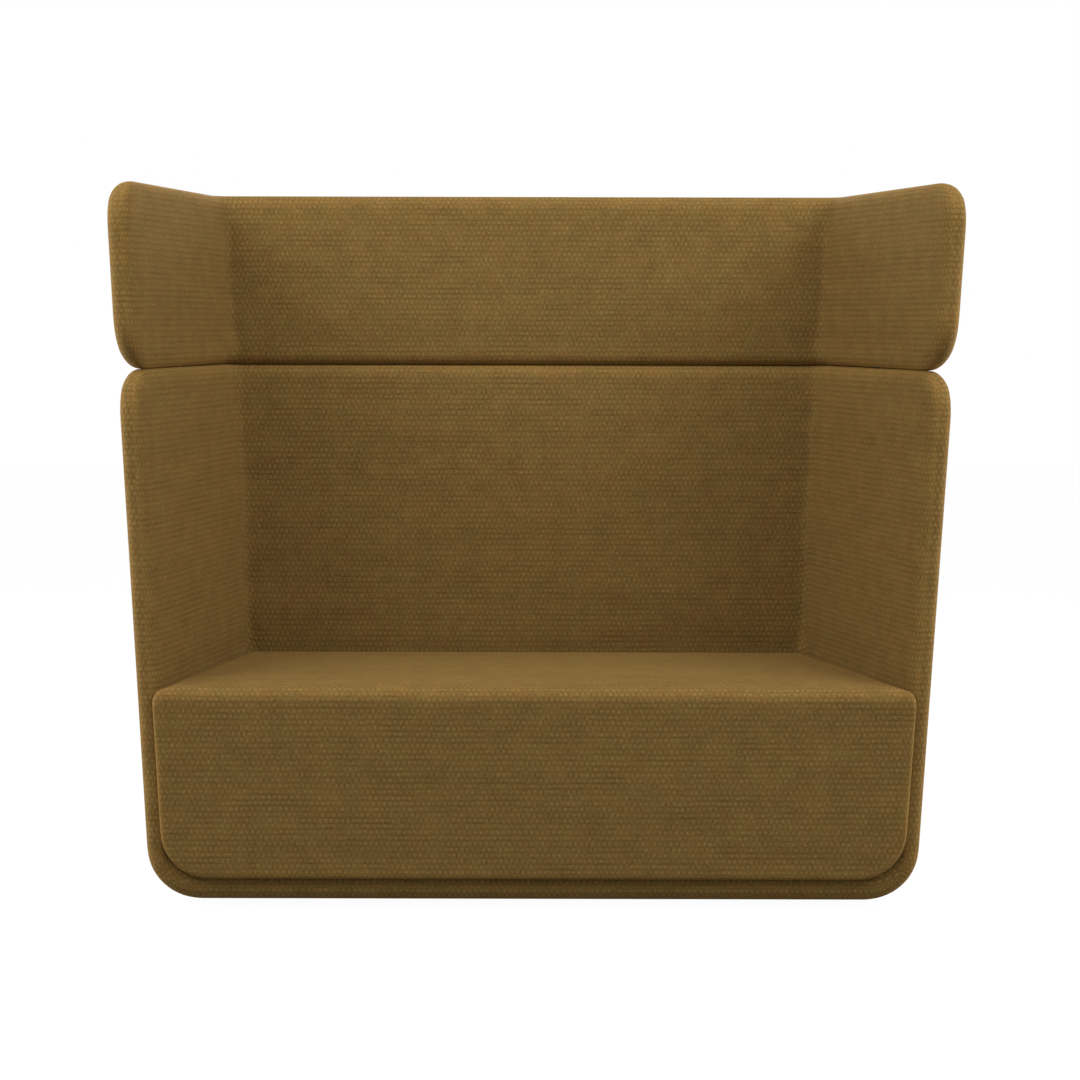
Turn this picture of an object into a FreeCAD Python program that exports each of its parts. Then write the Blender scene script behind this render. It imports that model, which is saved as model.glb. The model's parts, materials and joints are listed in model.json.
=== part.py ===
import FreeCAD, Part
import math
import os
from FreeCAD import Vector

# High-back two-seat sofa: a padded U-shaped shell, a padded collar on top of it and a seat block set into it.
# Millimetres. X runs along the seat, Y from front to back, Z up. The origin is on the floor, under the
# middle of the overall box. Every wall plane is found from the same few sizes, so all layers follow them.

# Overall sizes
SEAT_HEIGHT = 418.0
SEAT_DEPTH = 567.0
BACK_WIDTH = 1203.0
SHELL_TOP = 1046.0
COLLAR_TOP = 1408.0
FLOOR_GAP = 12.0
WALL = 62.0
SIDE_SPLAY = math.radians(11.5)
SIDE_FLARE = math.radians(2.55)
BACK_LEAN = math.radians(4.0)

# Rims, corners and the seam between shell and collar
SHELL_SETBACK = 27.0
COLLAR_SETBACK = 16.0
SEAM_GAP = 0.5
EDGE_RADIUS = 28.0
BOTTOM_RADIUS = 97.0
OUTER_CORNER_RADIUS = 60.0
INNER_CORNER_RADIUS = 28.0
SHELL_TIP_RADIUS = 75.0
WING_TOP_RADIUS = 65.0
WING_BOTTOM_RADIUS = 88.0

# Seat block
SEAT_CROWN = 8.0
SEAT_SIDE_GAP = 3.0
LIP_REVEAL = 44.0
LIP_RISE = 47.0
LIP_GAP = 3.0
LIP_CORNER_RADIUS = 90.0
LIP_TOP_CORNER_RADIUS = 20.0
LIP_EDGE_RADIUS = 14.0

# Sheet and board stock: the cover is fabric with its fibre wadding
COVER = 10.0
OUTER_PADDING = 16.0
DUST_COVER = 1.5
PLYWOOD = 18.0
BELT_WIDTH = 50.0
BELT_THICKNESS = 2.0
STEEL_PLATE = 3.0

# Base
RIM_DEPTH = 72.0
RUNNER_WIDTH = 60.0
BOARD_RISE = 38.0
HEM_WIDTH = 15.0
REAR_HEM = 45.0
POCKET_EASE = 1.0

# Shell and collar panels
PANEL_EDGE = 26.0
WINDOW_MARGIN = 90.0
WINDOW_BEVEL = 40.0
BACK_BELT_COUNT = 5
SIDE_BELT_COUNT = 4
BRACKET_LEG = 60.0
BRACKET_COUNT = 3

# Collar posts and the sleeves that hold them
POST_WIDTH = 40.0
POST_THICKNESS = 5.0
POST_REACH = 150.0
POST_CLEARANCE = 0.3
SLEEVE_WALL = 2.0
BACK_POST_X = 300.0
SIDE_POST_Y = 0.0

# Seat box
BOX_HEIGHT = 194.0
BOX_GAP = 0.3
SKIRT_DROP = 70.0
SEAT_BELTS_PER_SIDE = 5
SEAT_BELT_FIRST = 75.0
SEAT_BELT_PITCH = 110.0
CROSS_BELT_COUNT = 3
BELT_FOLD = 16.0
BLOCK_LEG = 60.0
ANGLE_LEG = 40.0
ANGLE_WIDTH = 30.0
ANGLE_X = 380.0

# Levelling glides
GLIDE_INSET = 50.0
FOOT_DIAMETER = 44.0
FOOT_FLAT_COUNT = 12
FOOT_HEIGHT = 11.0
FOOT_TAPER = 3.0
STEM_DIAMETER = 8.0
STEM_LENGTH = 30.0
HEAD_ACROSS = 13.0
HEAD_HEIGHT = 5.5
STEM_CLEARANCE = 0.05
NUT_ACROSS = 13.0
NUT_LENGTH = 32.0
DUST_HOLE = 24.0

# Values worked out from the sizes above
SPLAY = math.tan(SIDE_SPLAY)
FLARE = math.tan(SIDE_FLARE)
LEAN = math.tan(BACK_LEAN)
BACK_STRETCH = math.hypot(1.0, LEAN)
SIDE_RISE = FLARE + LEAN * SPLAY
SIDE_STRETCH = math.sqrt(1.0 + SPLAY ** 2 + SIDE_RISE ** 2)
LEAN_AT_TOP = LEAN * (COLLAR_TOP - EDGE_RADIUS - SEAT_HEIGHT)
DEPTH = SEAT_DEPTH + WALL * BACK_STRETCH + LEAN_AT_TOP - EDGE_RADIUS * (BACK_STRETCH - 1.0)
FRONT = -DEPTH / 2
RIM_Y = FRONT + SHELL_SETBACK
TIP_Y = FRONT + COLLAR_SETBACK
COLLAR_BOTTOM = SHELL_TOP + SEAM_GAP
PANEL_OUT = OUTER_PADDING
PANEL_IN = PANEL_OUT + PLYWOOD
BOARD_BOTTOM = FLOOR_GAP + BOARD_RISE
BOARD_TOP = BOARD_BOTTOM + PLYWOOD
RIM_TOP = FLOOR_GAP + WALL
RIM_BACK = RIM_Y + RIM_DEPTH
RUNNER_BOTTOM = FLOOR_GAP + DUST_COVER
HEM_IN = BOTTOM_RADIUS + HEM_WIDTH
SEAT_OUT = WALL + SEAT_SIDE_GAP
BOX_OUT = SEAT_OUT + COVER + BOX_GAP
BOX_IN = BOX_OUT + PLYWOOD
BOX_TOP = BOARD_TOP + BOX_HEIGHT
BOX_FRONT = RIM_BACK + BOX_GAP
FOAM_BOTTOM = BOX_TOP + 2 * BELT_THICKNESS + BOX_GAP
REACH = 60.0
TOLERANCE = 1e-3
UP = Vector(0, 0, 1)


# Wall planes: depth is measured square to the wall, from its outer face inwards

def back_y(z, depth):
    inner = FRONT + SEAT_DEPTH + LEAN * (z - SEAT_HEIGHT)
    return inner + (WALL - depth) * BACK_STRETCH


def side_x(y, z, depth):
    inner = BACK_WIDTH / 2 + FLARE * (z - SEAT_HEIGHT) + SPLAY * (back_y(z, WALL) - y)
    return inner + (WALL - depth) * SIDE_STRETCH


def side_point(hand, y, z, depth):
    return Vector(hand * side_x(y, z, depth), y, z)


def corner_point(hand, z, side_depth, back_depth):
    return side_point(hand, back_y(z, back_depth), z, side_depth)


# Solids with flat faces and small helpers

def flat_solid(bottom, top):
    """A solid of flat faces between two rings of points, which may run either way round."""
    turn = sum(here.x * after.y - after.x * here.y for here, after in zip(bottom, bottom[1:] + bottom[:1]))
    if turn < 0:
        bottom, top = bottom[::-1], top[::-1]
    rings = [bottom[::-1], top]
    count = len(bottom)
    for here in range(count):
        after = (here + 1) % count
        rings.append([bottom[here], bottom[after], top[after], top[here]])
    shell = Part.makeShell([Part.Face(Part.makePolygon(ring + ring[:1])) for ring in rings])
    shell.sewShape()
    return Part.makeSolid(shell)


def upright(ring_at, low, high):
    return flat_solid(ring_at(low), ring_at(high))


def tub(depth, front, low, high):
    """The space inside the walls at one depth, open to nothing: its front is a plain upright plane."""
    def ring(z):
        return [side_point(-1, front, z, depth), side_point(1, front, z, depth),
                corner_point(1, z, depth, depth), corner_point(-1, z, depth, depth)]
    return upright(ring, low, high)


def side_slab(hand, outer, inner, front, rear_depth, low, high):
    def ring(z):
        return [side_point(hand, front, z, outer), side_point(hand, front, z, inner),
                corner_point(hand, z, inner, rear_depth), corner_point(hand, z, outer, rear_depth)]
    return upright(ring, low, high)


def back_slab(outer, inner, side_depth, low, high):
    def ring(z):
        return [corner_point(-1, z, side_depth, inner), corner_point(1, z, side_depth, inner),
                corner_point(1, z, side_depth, outer), corner_point(-1, z, side_depth, outer)]
    return upright(ring, low, high)


def back_strip(x_low, x_high, outer, inner, low, high):
    def ring(z):
        return [Vector(x_low, back_y(z, inner), z), Vector(x_high, back_y(z, inner), z),
                Vector(x_high, back_y(z, outer), z), Vector(x_low, back_y(z, outer), z)]
    return upright(ring, low, high)


def side_strip(hand, y_low, y_high, outer, inner, low, high):
    def ring(z):
        return [side_point(hand, y_low, z, outer), side_point(hand, y_low, z, inner),
                side_point(hand, y_high, z, inner), side_point(hand, y_high, z, outer)]
    return upright(ring, low, high)


def box(x_low, x_high, y_low, y_high, low, high):
    return Part.makeBox(x_high - x_low, y_high - y_low, high - low, Vector(x_low, y_low, low))


def rod(start, direction, diameter, length):
    return Part.makeCylinder(diameter / 2, length, start, direction)


def spread(first, last, count):
    return [first + (last - first) * step / (count - 1) for step in range(count)]


def at_level(edge, z):
    return all(abs(vertex.Z - z) < TOLERANCE for vertex in edge.Vertexes)


def at_front(edge, y):
    return all(abs(vertex.Y - y) < TOLERANCE for vertex in edge.Vertexes)


def on_back(edge, depth):
    return all(abs(vertex.Y - back_y(vertex.Z, depth)) < TOLERANCE for vertex in edge.Vertexes)


def along_depth(edge, z):
    ends = edge.Vertexes
    return at_level(edge, z) and abs(ends[0].Y - ends[1].Y) > TOLERANCE


def round_edges(solid, radius, chosen):
    return solid.makeFillet(radius, [edge for edge in solid.Edges if chosen(edge)])


def rim_edges(solid, is_rim_face):
    """Edges where the flat rim meets the inner or the outer wall."""
    rim = [face for face in solid.Faces if is_rim_face(face)]
    owned = [edge for face in rim for edge in face.Edges]
    return [edge for edge in owned if sum(edge.isSame(other) for other in owned) == 1]


def one(solids):
    return Part.makeCompound(solids)


def save(node, shape):
    shape.exportStep("parts/" + node + ".step")


# Padded forms: inset 0 is the cover's outer face, inset COVER is the square-edged foam below it

def trough(depth, front, low, high, radius):
    """The space between the two side walls, without a back, with its lower edges rounded."""
    def ring(z):
        return [side_point(-1, front, z, depth), side_point(1, front, z, depth),
                side_point(1, REACH - FRONT, z, depth), side_point(-1, REACH - FRONT, z, depth)]
    return round_edges(upright(ring, low, high), radius, lambda edge: along_depth(edge, low))


def rounded_tub(depth, front, low, high, bottom_radius, corner_radius):
    def is_rear_corner(edge):
        return on_back(edge, depth) and not at_level(edge, low) and not at_level(edge, high)
    solid = round_edges(tub(depth, front, low, high), corner_radius, is_rear_corner)
    if bottom_radius:
        solid = solid.common(trough(depth, front, low, high, bottom_radius))
    return solid


def shell_outside(inset):
    return rounded_tub(inset, RIM_Y + inset, FLOOR_GAP + inset, SHELL_TOP - inset, BOTTOM_RADIUS - inset,
                       OUTER_CORNER_RADIUS - inset)


def shell_form(inset):
    front = RIM_Y + inset
    top = SHELL_TOP - inset
    inner = WALL - inset
    hollow = rounded_tub(inner, front - REACH, FLOOR_GAP + inner, top + REACH, BOTTOM_RADIUS - inner,
                         INNER_CORNER_RADIUS + inset)
    solid = shell_outside(inset).cut(hollow)
    return round_edges(solid, SHELL_TIP_RADIUS - inset,
                       lambda edge: at_level(edge, top) and at_front(edge, front))


def collar_outside(inset):
    return rounded_tub(inset, TIP_Y + inset, COLLAR_BOTTOM + inset, COLLAR_TOP - inset, 0,
                       OUTER_CORNER_RADIUS - inset)


def collar_form(inset):
    front = TIP_Y + inset
    top = COLLAR_TOP - inset
    bottom = COLLAR_BOTTOM + inset
    hollow = rounded_tub(WALL - inset, front - REACH, bottom - REACH, top + REACH, 0,
                         INNER_CORNER_RADIUS + inset)
    solid = collar_outside(inset).cut(hollow)
    solid = round_edges(solid, WING_TOP_RADIUS - inset,
                        lambda edge: at_level(edge, top) and at_front(edge, front))
    return round_edges(solid, WING_BOTTOM_RADIUS - inset,
                       lambda edge: at_level(edge, bottom) and at_front(edge, front))


def round_rim(solid, front, levels, tips):
    """Rounds a form's whole rim: where its front and level faces and their tips meet the walls."""
    def is_rim_face(face):
        surface = face.Surface
        if isinstance(surface, Part.Cylinder):
            return any(abs(surface.Radius - tip) < TOLERANCE for tip in tips) and abs(surface.Axis.x) > 0.999
        extent = face.BoundBox
        if extent.YLength < TOLERANCE and abs(extent.YMin - front) < TOLERANCE:
            return True
        return extent.ZLength < TOLERANCE and any(abs(extent.ZMin - z) < TOLERANCE for z in levels)
    return solid.makeFillet(EDGE_RADIUS, rim_edges(solid, is_rim_face))


def crown_cap(inset):
    """A tall block whose top is flat along the front and the back of the seat and crowned between them."""
    half = side_x(FRONT, SEAT_HEIGHT, 0)
    edge = SEAT_HEIGHT - inset
    rear = back_y(SEAT_HEIGHT, 0)
    front = lip_back()
    sections = []
    for y, rise in ((front, 0.0), ((front + rear) / 2, SEAT_CROWN), (rear, 0.0)):
        left, right = Vector(-half, y, edge), Vector(half, y, edge)
        low_left, low_right = Vector(-half, y, 0), Vector(half, y, 0)
        top = Part.Arc(right, Vector(0, y, edge + rise), left) if rise else Part.LineSegment(right, left)
        lines = [Part.LineSegment(left, low_left), Part.LineSegment(low_left, low_right),
                 Part.LineSegment(low_right, right)]
        sections.append(Part.Wire([curve.toShape() for curve in [top] + lines]))
    return Part.makeLoft(sections, True, False).fuse(box(-half, half, 2 * FRONT, front, 0, edge))


def lip_back():
    return RIM_Y - LIP_GAP


def seat_body(inset, front):
    depth = SEAT_OUT + inset
    block = rounded_tub(depth, front, FLOOR_GAP + depth, SEAT_HEIGHT + REACH, BOTTOM_RADIUS - depth,
                        INNER_CORNER_RADIUS - inset)
    return block.common(crown_cap(inset))


def seat_lip():
    """The seat's front border, which laps over the shell's rim and has rounded edges."""
    low = FLOOR_GAP + LIP_RISE
    back = Vector(0, lip_back() - FRONT, 0)

    def ring(z):
        corners = [side_point(-1, FRONT, z, LIP_REVEAL), side_point(1, FRONT, z, LIP_REVEAL)]
        return corners + [corners[1] + back, corners[0] + back]
    lip = upright(ring, low, SEAT_HEIGHT)
    lip = round_edges(lip, LIP_CORNER_RADIUS, lambda edge: along_depth(edge, low))
    lip = round_edges(lip, LIP_TOP_CORNER_RADIUS, lambda edge: along_depth(edge, SEAT_HEIGHT))
    return round_edges(lip, LIP_EDGE_RADIUS, lambda edge: at_front(edge, FRONT))


# Base

def underside(low, high):
    """The open space under the base board, inside the hem of the shell's cover."""
    def ring(z):
        return [side_point(-1, RIM_BACK, z, HEM_IN), side_point(1, RIM_BACK, z, HEM_IN),
                corner_point(1, z, HEM_IN, REAR_HEM), corner_point(-1, z, HEM_IN, REAR_HEM)]
    return upright(ring, low, high)


def base_board():
    return tub(PANEL_IN, RIM_Y + PANEL_EDGE, BOARD_BOTTOM, BOARD_TOP).common(shell_outside(COVER))


def runner_places():
    return {"front": RIM_BACK, "rear": back_y(RUNNER_BOTTOM, REAR_HEM) - RUNNER_WIDTH}


def runner_half(y):
    return side_x(y + RUNNER_WIDTH, RUNNER_BOTTOM, HEM_IN)


def runner(y):
    half = runner_half(y)
    return box(-half, half, y, y + RUNNER_WIDTH, RUNNER_BOTTOM, BOARD_BOTTOM)


def glide_places():
    places = {}
    for end, y in runner_places().items():
        for name, hand in (("left", -1), ("right", 1)):
            places[end + "_" + name] = Vector(hand * (runner_half(y) - GLIDE_INSET), y + RUNNER_WIDTH / 2, 0)
    return places


def flat_ring(place, level, across, sides):
    """The corners of a regular outline, given by the distance across its flats."""
    radius = across / 2 / math.cos(math.pi / sides)
    centre = Vector(place.x, place.y, level)
    turns = [2 * math.pi * step / sides for step in range(sides)]
    return [centre + Vector(math.cos(turn), math.sin(turn), 0) * radius for turn in turns]


def hexagon(place, low, across, height):
    return flat_solid(flat_ring(place, low, across, 6), flat_ring(place, low + height, across, 6))


def insert_nut(place):
    return hexagon(place, RUNNER_BOTTOM, NUT_ACROSS, NUT_LENGTH)


def stem_bore(place):
    return rod(place, UP, STEM_DIAMETER + 2 * STEM_CLEARANCE, BOARD_BOTTOM)


def stem_head(place):
    return hexagon(place, FOOT_HEIGHT - HEAD_HEIGHT, HEAD_ACROSS, HEAD_HEIGHT)


def glide_foot(place):
    """A tapered foot with flats round its rim, by which it is turned."""
    top = FOOT_DIAMETER - 2 * FOOT_TAPER
    foot = flat_solid(flat_ring(place, 0.0, FOOT_DIAMETER, FOOT_FLAT_COUNT),
                      flat_ring(place, FOOT_HEIGHT, top, FOOT_FLAT_COUNT))
    return foot.cut(stem_head(place))


def glide_stem(place):
    shank = rod(place + UP * FOOT_HEIGHT, UP, STEM_DIAMETER, STEM_LENGTH)
    return stem_head(place).fuse(shank)


def dust_cover():
    sheet = underside(FLOOR_GAP, FLOOR_GAP + DUST_COVER)
    for place in glide_places().values():
        ring = flat_ring(place, 0.0, DUST_HOLE, 4)
        sheet = sheet.cut(flat_solid(ring, [corner + UP * BOARD_BOTTOM for corner in ring]))
    return sheet


def build_base():
    places = glide_places()
    bores = one([stem_bore(place) for place in places.values()])
    nuts = one([insert_nut(place) for place in places.values()])
    save("base_board", base_board())
    for end, y in runner_places().items():
        save(end + "_runner", runner(y).cut(nuts))
    save("insert_nuts", nuts.cut(bores))
    for name, place in places.items():
        save("glide_foot_" + name, glide_foot(place))
        save("glide_stem_" + name, glide_stem(place))
    save("dust_cover", dust_cover())


# Shell frame

def panel_window(solid, tool):
    corners = [edge for edge in tool.Edges if edge.Length < 4 * PLYWOOD]
    return solid.cut(tool.makeChamfer(WINDOW_BEVEL, corners))


def side_panel_blank(hand, low, high, front, tips):
    solid = side_slab(hand, PANEL_OUT, PANEL_IN, front, PANEL_OUT, low, high)
    for level, radius in tips:
        solid = round_edges(solid, radius, lambda edge: at_level(edge, level) and at_front(edge, front))
    return solid


def shell_panel_top():
    return SHELL_TOP - PANEL_EDGE


def side_window(hand):
    front = RIM_Y + PANEL_EDGE + WINDOW_MARGIN
    low = BOX_TOP
    high = shell_panel_top() - POST_REACH
    rear = back_y(low, PANEL_IN + WINDOW_MARGIN)
    return side_strip(hand, front, rear, PANEL_OUT - PLYWOOD, PANEL_IN + PLYWOOD, low, high)


def back_window(hand):
    low = BOX_TOP
    high = shell_panel_top() - POST_REACH
    near = WINDOW_MARGIN / 2
    far = side_x(back_y(low, PANEL_IN), low, PANEL_IN) - WINDOW_MARGIN
    ends = sorted((hand * near, hand * far))
    return back_strip(ends[0], ends[1], PANEL_OUT - PLYWOOD, PANEL_IN + PLYWOOD, low, high)


def back_belts():
    levels = spread(BOX_TOP + BELT_WIDTH, shell_panel_top() - POST_REACH - 2 * BELT_WIDTH, BACK_BELT_COUNT)
    half = side_x(back_y(BOX_TOP, PANEL_IN), BOX_TOP, PANEL_IN) - BRACKET_LEG - BELT_FOLD
    return [back_strip(-half, half, PANEL_IN, PANEL_IN + BELT_THICKNESS, z, z + BELT_WIDTH) for z in levels]


def side_belts():
    levels = spread(BOX_TOP + BELT_WIDTH, shell_panel_top() - POST_REACH - 2 * BELT_WIDTH, SIDE_BELT_COUNT)
    front = RIM_Y + PANEL_EDGE + WINDOW_MARGIN / 2
    rear = back_y(BOX_TOP, PANEL_IN) - BRACKET_LEG - BELT_FOLD
    return [side_strip(hand, front, rear, PANEL_IN, PANEL_IN + BELT_THICKNESS, z, z + BELT_WIDTH)
            for hand in (-1, 1) for z in levels]


def corner_brackets():
    near, thick = PANEL_IN, PANEL_IN + STEEL_PLATE
    far = PANEL_IN + BRACKET_LEG
    outline = ((near, near), (near, far), (thick, far), (thick, thick), (far, thick), (far, near))
    solids = []
    for hand in (-1, 1):
        for z in spread(BOARD_TOP + BRACKET_LEG, shell_panel_top() - 2 * BRACKET_LEG, BRACKET_COUNT):
            def ring(level):
                return [corner_point(hand, level, side, rear) for side, rear in outline]
            solids.append(upright(ring, z, z + BRACKET_LEG))
    return solids


# Collar posts: flat steel bars that stand in sleeves on the panels' inner faces

def post_span():
    return shell_panel_top() - POST_REACH, COLLAR_BOTTOM + PANEL_EDGE + POST_REACH


def wall_bars(width, outer, inner, low, high):
    """The same upright bar at each post's place: two on the back and one on each side."""
    half = width / 2
    bars = [back_strip(x - half, x + half, outer, inner, low, high) for x in (-BACK_POST_X, BACK_POST_X)]
    front, rear = SIDE_POST_Y - half, SIDE_POST_Y + half
    return bars + [side_strip(hand, front, rear, outer, inner, low, high) for hand in (-1, 1)]


def collar_posts():
    low, high = post_span()
    outer = PANEL_IN + SLEEVE_WALL + POST_CLEARANCE
    return wall_bars(POST_WIDTH, outer, outer + POST_THICKNESS, low + SLEEVE_WALL, high - SLEEVE_WALL)


def post_sleeves():
    low, high = post_span()
    slot = POST_THICKNESS + 2 * POST_CLEARANCE
    width = POST_WIDTH + 2 * POST_CLEARANCE
    outer = PANEL_IN + SLEEVE_WALL
    hollows = one(wall_bars(width, outer, outer + slot, low + SLEEVE_WALL, high - SLEEVE_WALL))
    solids = []
    for ends in ((low, shell_panel_top()), (COLLAR_BOTTOM + PANEL_EDGE, high)):
        solids += wall_bars(width + 2 * SLEEVE_WALL, PANEL_IN, outer + slot + SLEEVE_WALL, ends[0], ends[1])
    return [solid.cut(hollows) for solid in solids]


def sleeve_blocks():
    """The sleeves with their posts as plain blocks, to make room for them in the padding."""
    low, high = post_span()
    inner = PANEL_IN + POST_THICKNESS + 2 * POST_CLEARANCE + 2 * SLEEVE_WALL
    return wall_bars(POST_WIDTH + 2 * POST_CLEARANCE + 2 * SLEEVE_WALL, PANEL_IN, inner, low, high)


def shell_panel_blanks():
    top = shell_panel_top()
    tips = ((top, SHELL_TIP_RADIUS - PANEL_EDGE),)
    inside = shell_outside(COVER)
    panels = {"back": back_slab(PANEL_OUT, PANEL_IN, PANEL_IN, BOARD_BOTTOM, top).common(inside)}
    for name, hand in (("left", -1), ("right", 1)):
        blank = side_panel_blank(hand, BOARD_BOTTOM, top, RIM_Y + PANEL_EDGE, tips)
        panels[name] = blank.common(inside)
    return panels


def build_shell_frame():
    panels = shell_panel_blanks()
    save("side_panel_left", panel_window(panels["left"], side_window(-1)))
    save("side_panel_right", panel_window(panels["right"], side_window(1)))
    save("back_panel", panel_window(panel_window(panels["back"], back_window(-1)), back_window(1)))
    save("back_belts", one(back_belts()))
    save("side_belts", one(side_belts()))
    save("corner_brackets", one(corner_brackets()))
    save("collar_posts", one(collar_posts()))
    save("post_sleeves", one(post_sleeves()))


def collar_panel_blanks():
    low, high = COLLAR_BOTTOM + PANEL_EDGE, COLLAR_TOP - PANEL_EDGE
    tips = ((high, WING_TOP_RADIUS - PANEL_EDGE), (low, WING_BOTTOM_RADIUS - PANEL_EDGE))
    panels = {"back": back_slab(PANEL_OUT, PANEL_IN, PANEL_IN, low, high)}
    for name, hand in (("left", -1), ("right", 1)):
        panels[name] = side_panel_blank(hand, low, high, TIP_Y + PANEL_EDGE, tips)
    inside = collar_outside(COVER)
    return {name: panel.common(inside) for name, panel in panels.items()}


# Padding: each foam wraps its panel, and the foams meet at a mitre through the corner

def mitre_space(low, high):
    """The space behind the two corner mitres, which holds the back wall and nothing of the sides."""
    near, far = WALL + REACH, -REACH

    def ring(z):
        return [corner_point(-1, z, near, near), corner_point(1, z, near, near),
                corner_point(1, z, far, far), corner_point(-1, z, far, far)]
    return upright(ring, low, high)


def half_space(hand, low, high):
    ends = sorted((0.0, hand * 2 * BACK_WIDTH))
    return box(ends[0], ends[1], 2 * FRONT, -2 * FRONT, low, high)


def seat_pocket():
    """Room for the seat box behind the front rim, and the open underside inside the hem."""
    upper = tub(WALL - POCKET_EASE, RIM_BACK, BOARD_TOP, RIM_TOP + REACH)
    return one([upper, base_board(), underside(0.0, BOARD_BOTTOM)])


def wall_hardware():
    """Everything on the panels' inner faces that the padding goes round."""
    return [one(sleeve_blocks()), one(corner_brackets()), one(back_belts()), one(side_belts())]


def rim_room():
    """The straight stretch of the front rim, between the side walls' inner faces."""
    return tub(WALL + INNER_CORNER_RADIUS, RIM_Y - REACH, 0.0, RIM_TOP + REACH).common(
        box(-BACK_WIDTH, BACK_WIDTH, RIM_Y - REACH, RIM_BACK, 0.0, RIM_TOP + REACH))


def build_shell_padding():
    padding = shell_form(COVER)
    whole = round_rim(shell_form(0.0), RIM_Y, (SHELL_TOP,), (SHELL_TIP_RADIUS,))
    cover = whole.cut(padding).cut(seat_pocket()).cut(one(sleeve_blocks()))
    inner_pieces = list(shell_panel_blanks().values()) + wall_hardware() + [seat_pocket()]
    for tool in inner_pieces:
        padding = padding.cut(tool)
    rim_space = rim_room()
    behind = mitre_space(0.0, COLLAR_TOP)
    rest = padding.cut(rim_space)
    sides = rest.cut(behind)
    save("shell_rim_foam", padding.common(rim_space))
    save("shell_back_foam", rest.common(behind))
    for name, hand in (("left", -1), ("right", 1)):
        save("shell_" + name + "_foam", sides.common(half_space(hand, 0.0, COLLAR_TOP)))
    save("shell_cover", cover)


def build_collar():
    padding = collar_form(COVER)
    tips = (WING_TOP_RADIUS, WING_BOTTOM_RADIUS)
    whole = round_rim(collar_form(0.0), TIP_Y, (COLLAR_TOP, COLLAR_BOTTOM), tips)
    cover = whole.cut(padding).cut(one(sleeve_blocks()))
    panels = collar_panel_blanks()
    for tool in list(panels.values()) + [one(sleeve_blocks())]:
        padding = padding.cut(tool)
    low, high = SHELL_TOP - REACH, COLLAR_TOP + REACH
    behind = mitre_space(low, high)
    sides = padding.cut(behind)
    save("collar_back_foam", padding.common(behind))
    for name, hand in (("left", -1), ("right", 1)):
        save("collar_" + name + "_foam", sides.common(half_space(hand, low, high)))
    for name, panel in panels.items():
        save("collar_" + name + "_panel", panel)
    save("collar_cover", cover)


# Seat box and seat padding

def box_front_board():
    def ring(z):
        rear = BOX_FRONT + PLYWOOD
        return [side_point(-1, BOX_FRONT, z, BOX_OUT), side_point(1, BOX_FRONT, z, BOX_OUT),
                side_point(1, rear, z, BOX_OUT), side_point(-1, rear, z, BOX_OUT)]
    return upright(ring, BOARD_TOP, BOX_TOP)


def box_centre_board():
    half = PLYWOOD / 2

    def ring(z):
        rear = back_y(z, BOX_IN)
        front = BOX_FRONT + PLYWOOD
        corners = ((-half, front), (half, front), (half, rear), (-half, rear))
        return [Vector(x, y, z) for x, y in corners]
    return upright(ring, BOARD_TOP, BOX_TOP)


def corner_blocks():
    solids = []
    high = BOX_TOP - BELT_WIDTH
    for hand in (-1, 1):
        front = BOX_FRONT + PLYWOOD

        def front_ring(z):
            corner = side_point(hand, front, z, BOX_IN)
            inward = Vector(hand * BLOCK_LEG, 0, 0)
            return [corner, corner - inward, side_point(hand, front + BLOCK_LEG, z, BOX_IN)]

        def rear_ring(z):
            depths = ((BOX_IN, BOX_IN), (BOX_IN, BOX_IN + BLOCK_LEG), (BOX_IN + BLOCK_LEG, BOX_IN))
            return [corner_point(hand, z, side, rear) for side, rear in depths]
        solids += [upright(ring, BOARD_TOP, high) for ring in (front_ring, rear_ring)]
    return solids


def seat_belts():
    rear = back_y(BOX_TOP, BOX_OUT)
    solids = []
    for step in range(SEAT_BELTS_PER_SIDE):
        for hand in (-1, 1):
            x = hand * (SEAT_BELT_FIRST + step * SEAT_BELT_PITCH)
            solids.append(box(x - BELT_WIDTH / 2, x + BELT_WIDTH / 2, BOX_FRONT, rear,
                              BOX_TOP, BOX_TOP + BELT_THICKNESS))
    return solids


def cross_belts():
    """Belts over the first layer, their ends folded double on the side boards."""
    solids = []
    first = BOX_FRONT + PLYWOOD + BELT_WIDTH
    last = back_y(BOX_TOP, BOX_IN) - 2 * BELT_WIDTH
    upper = BOX_TOP + BELT_THICKNESS
    for y in spread(first, last, CROSS_BELT_COUNT):
        half = side_x(y + BELT_WIDTH, BOX_TOP, BOX_OUT)
        strip = box(-half, half, y, y + BELT_WIDTH, upper, upper + BELT_THICKNESS)
        for hand in (-1, 1):
            ends = sorted((hand * half, hand * (half - BELT_FOLD)))
            strip = strip.fuse(box(ends[0], ends[1], y, y + BELT_WIDTH, BOX_TOP, upper))
        solids.append(strip.removeSplitter())
    return solids


def seat_angles():
    """Steel angles that hold the box's front and rear boards down on the base board."""
    solids = []
    top = BOARD_TOP + ANGLE_LEG
    front = BOX_FRONT + PLYWOOD
    for x in (-ANGLE_X, ANGLE_X):
        low, high = x - ANGLE_WIDTH / 2, x + ANGLE_WIDTH / 2
        leg = box(low, high, front, front + STEEL_PLATE, BOARD_TOP, top)
        flat = box(low, high, front, front + ANGLE_LEG, BOARD_TOP, BOARD_TOP + STEEL_PLATE)
        solids.append(leg.fuse(flat).removeSplitter())
        leg = back_strip(low, high, BOX_IN, BOX_IN + STEEL_PLATE, BOARD_TOP, top)
        flat = back_strip(low, high, BOX_IN, BOX_IN + ANGLE_LEG, BOARD_TOP, BOARD_TOP + STEEL_PLATE)
        solids.append(leg.fuse(flat).removeSplitter())
    return solids


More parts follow.
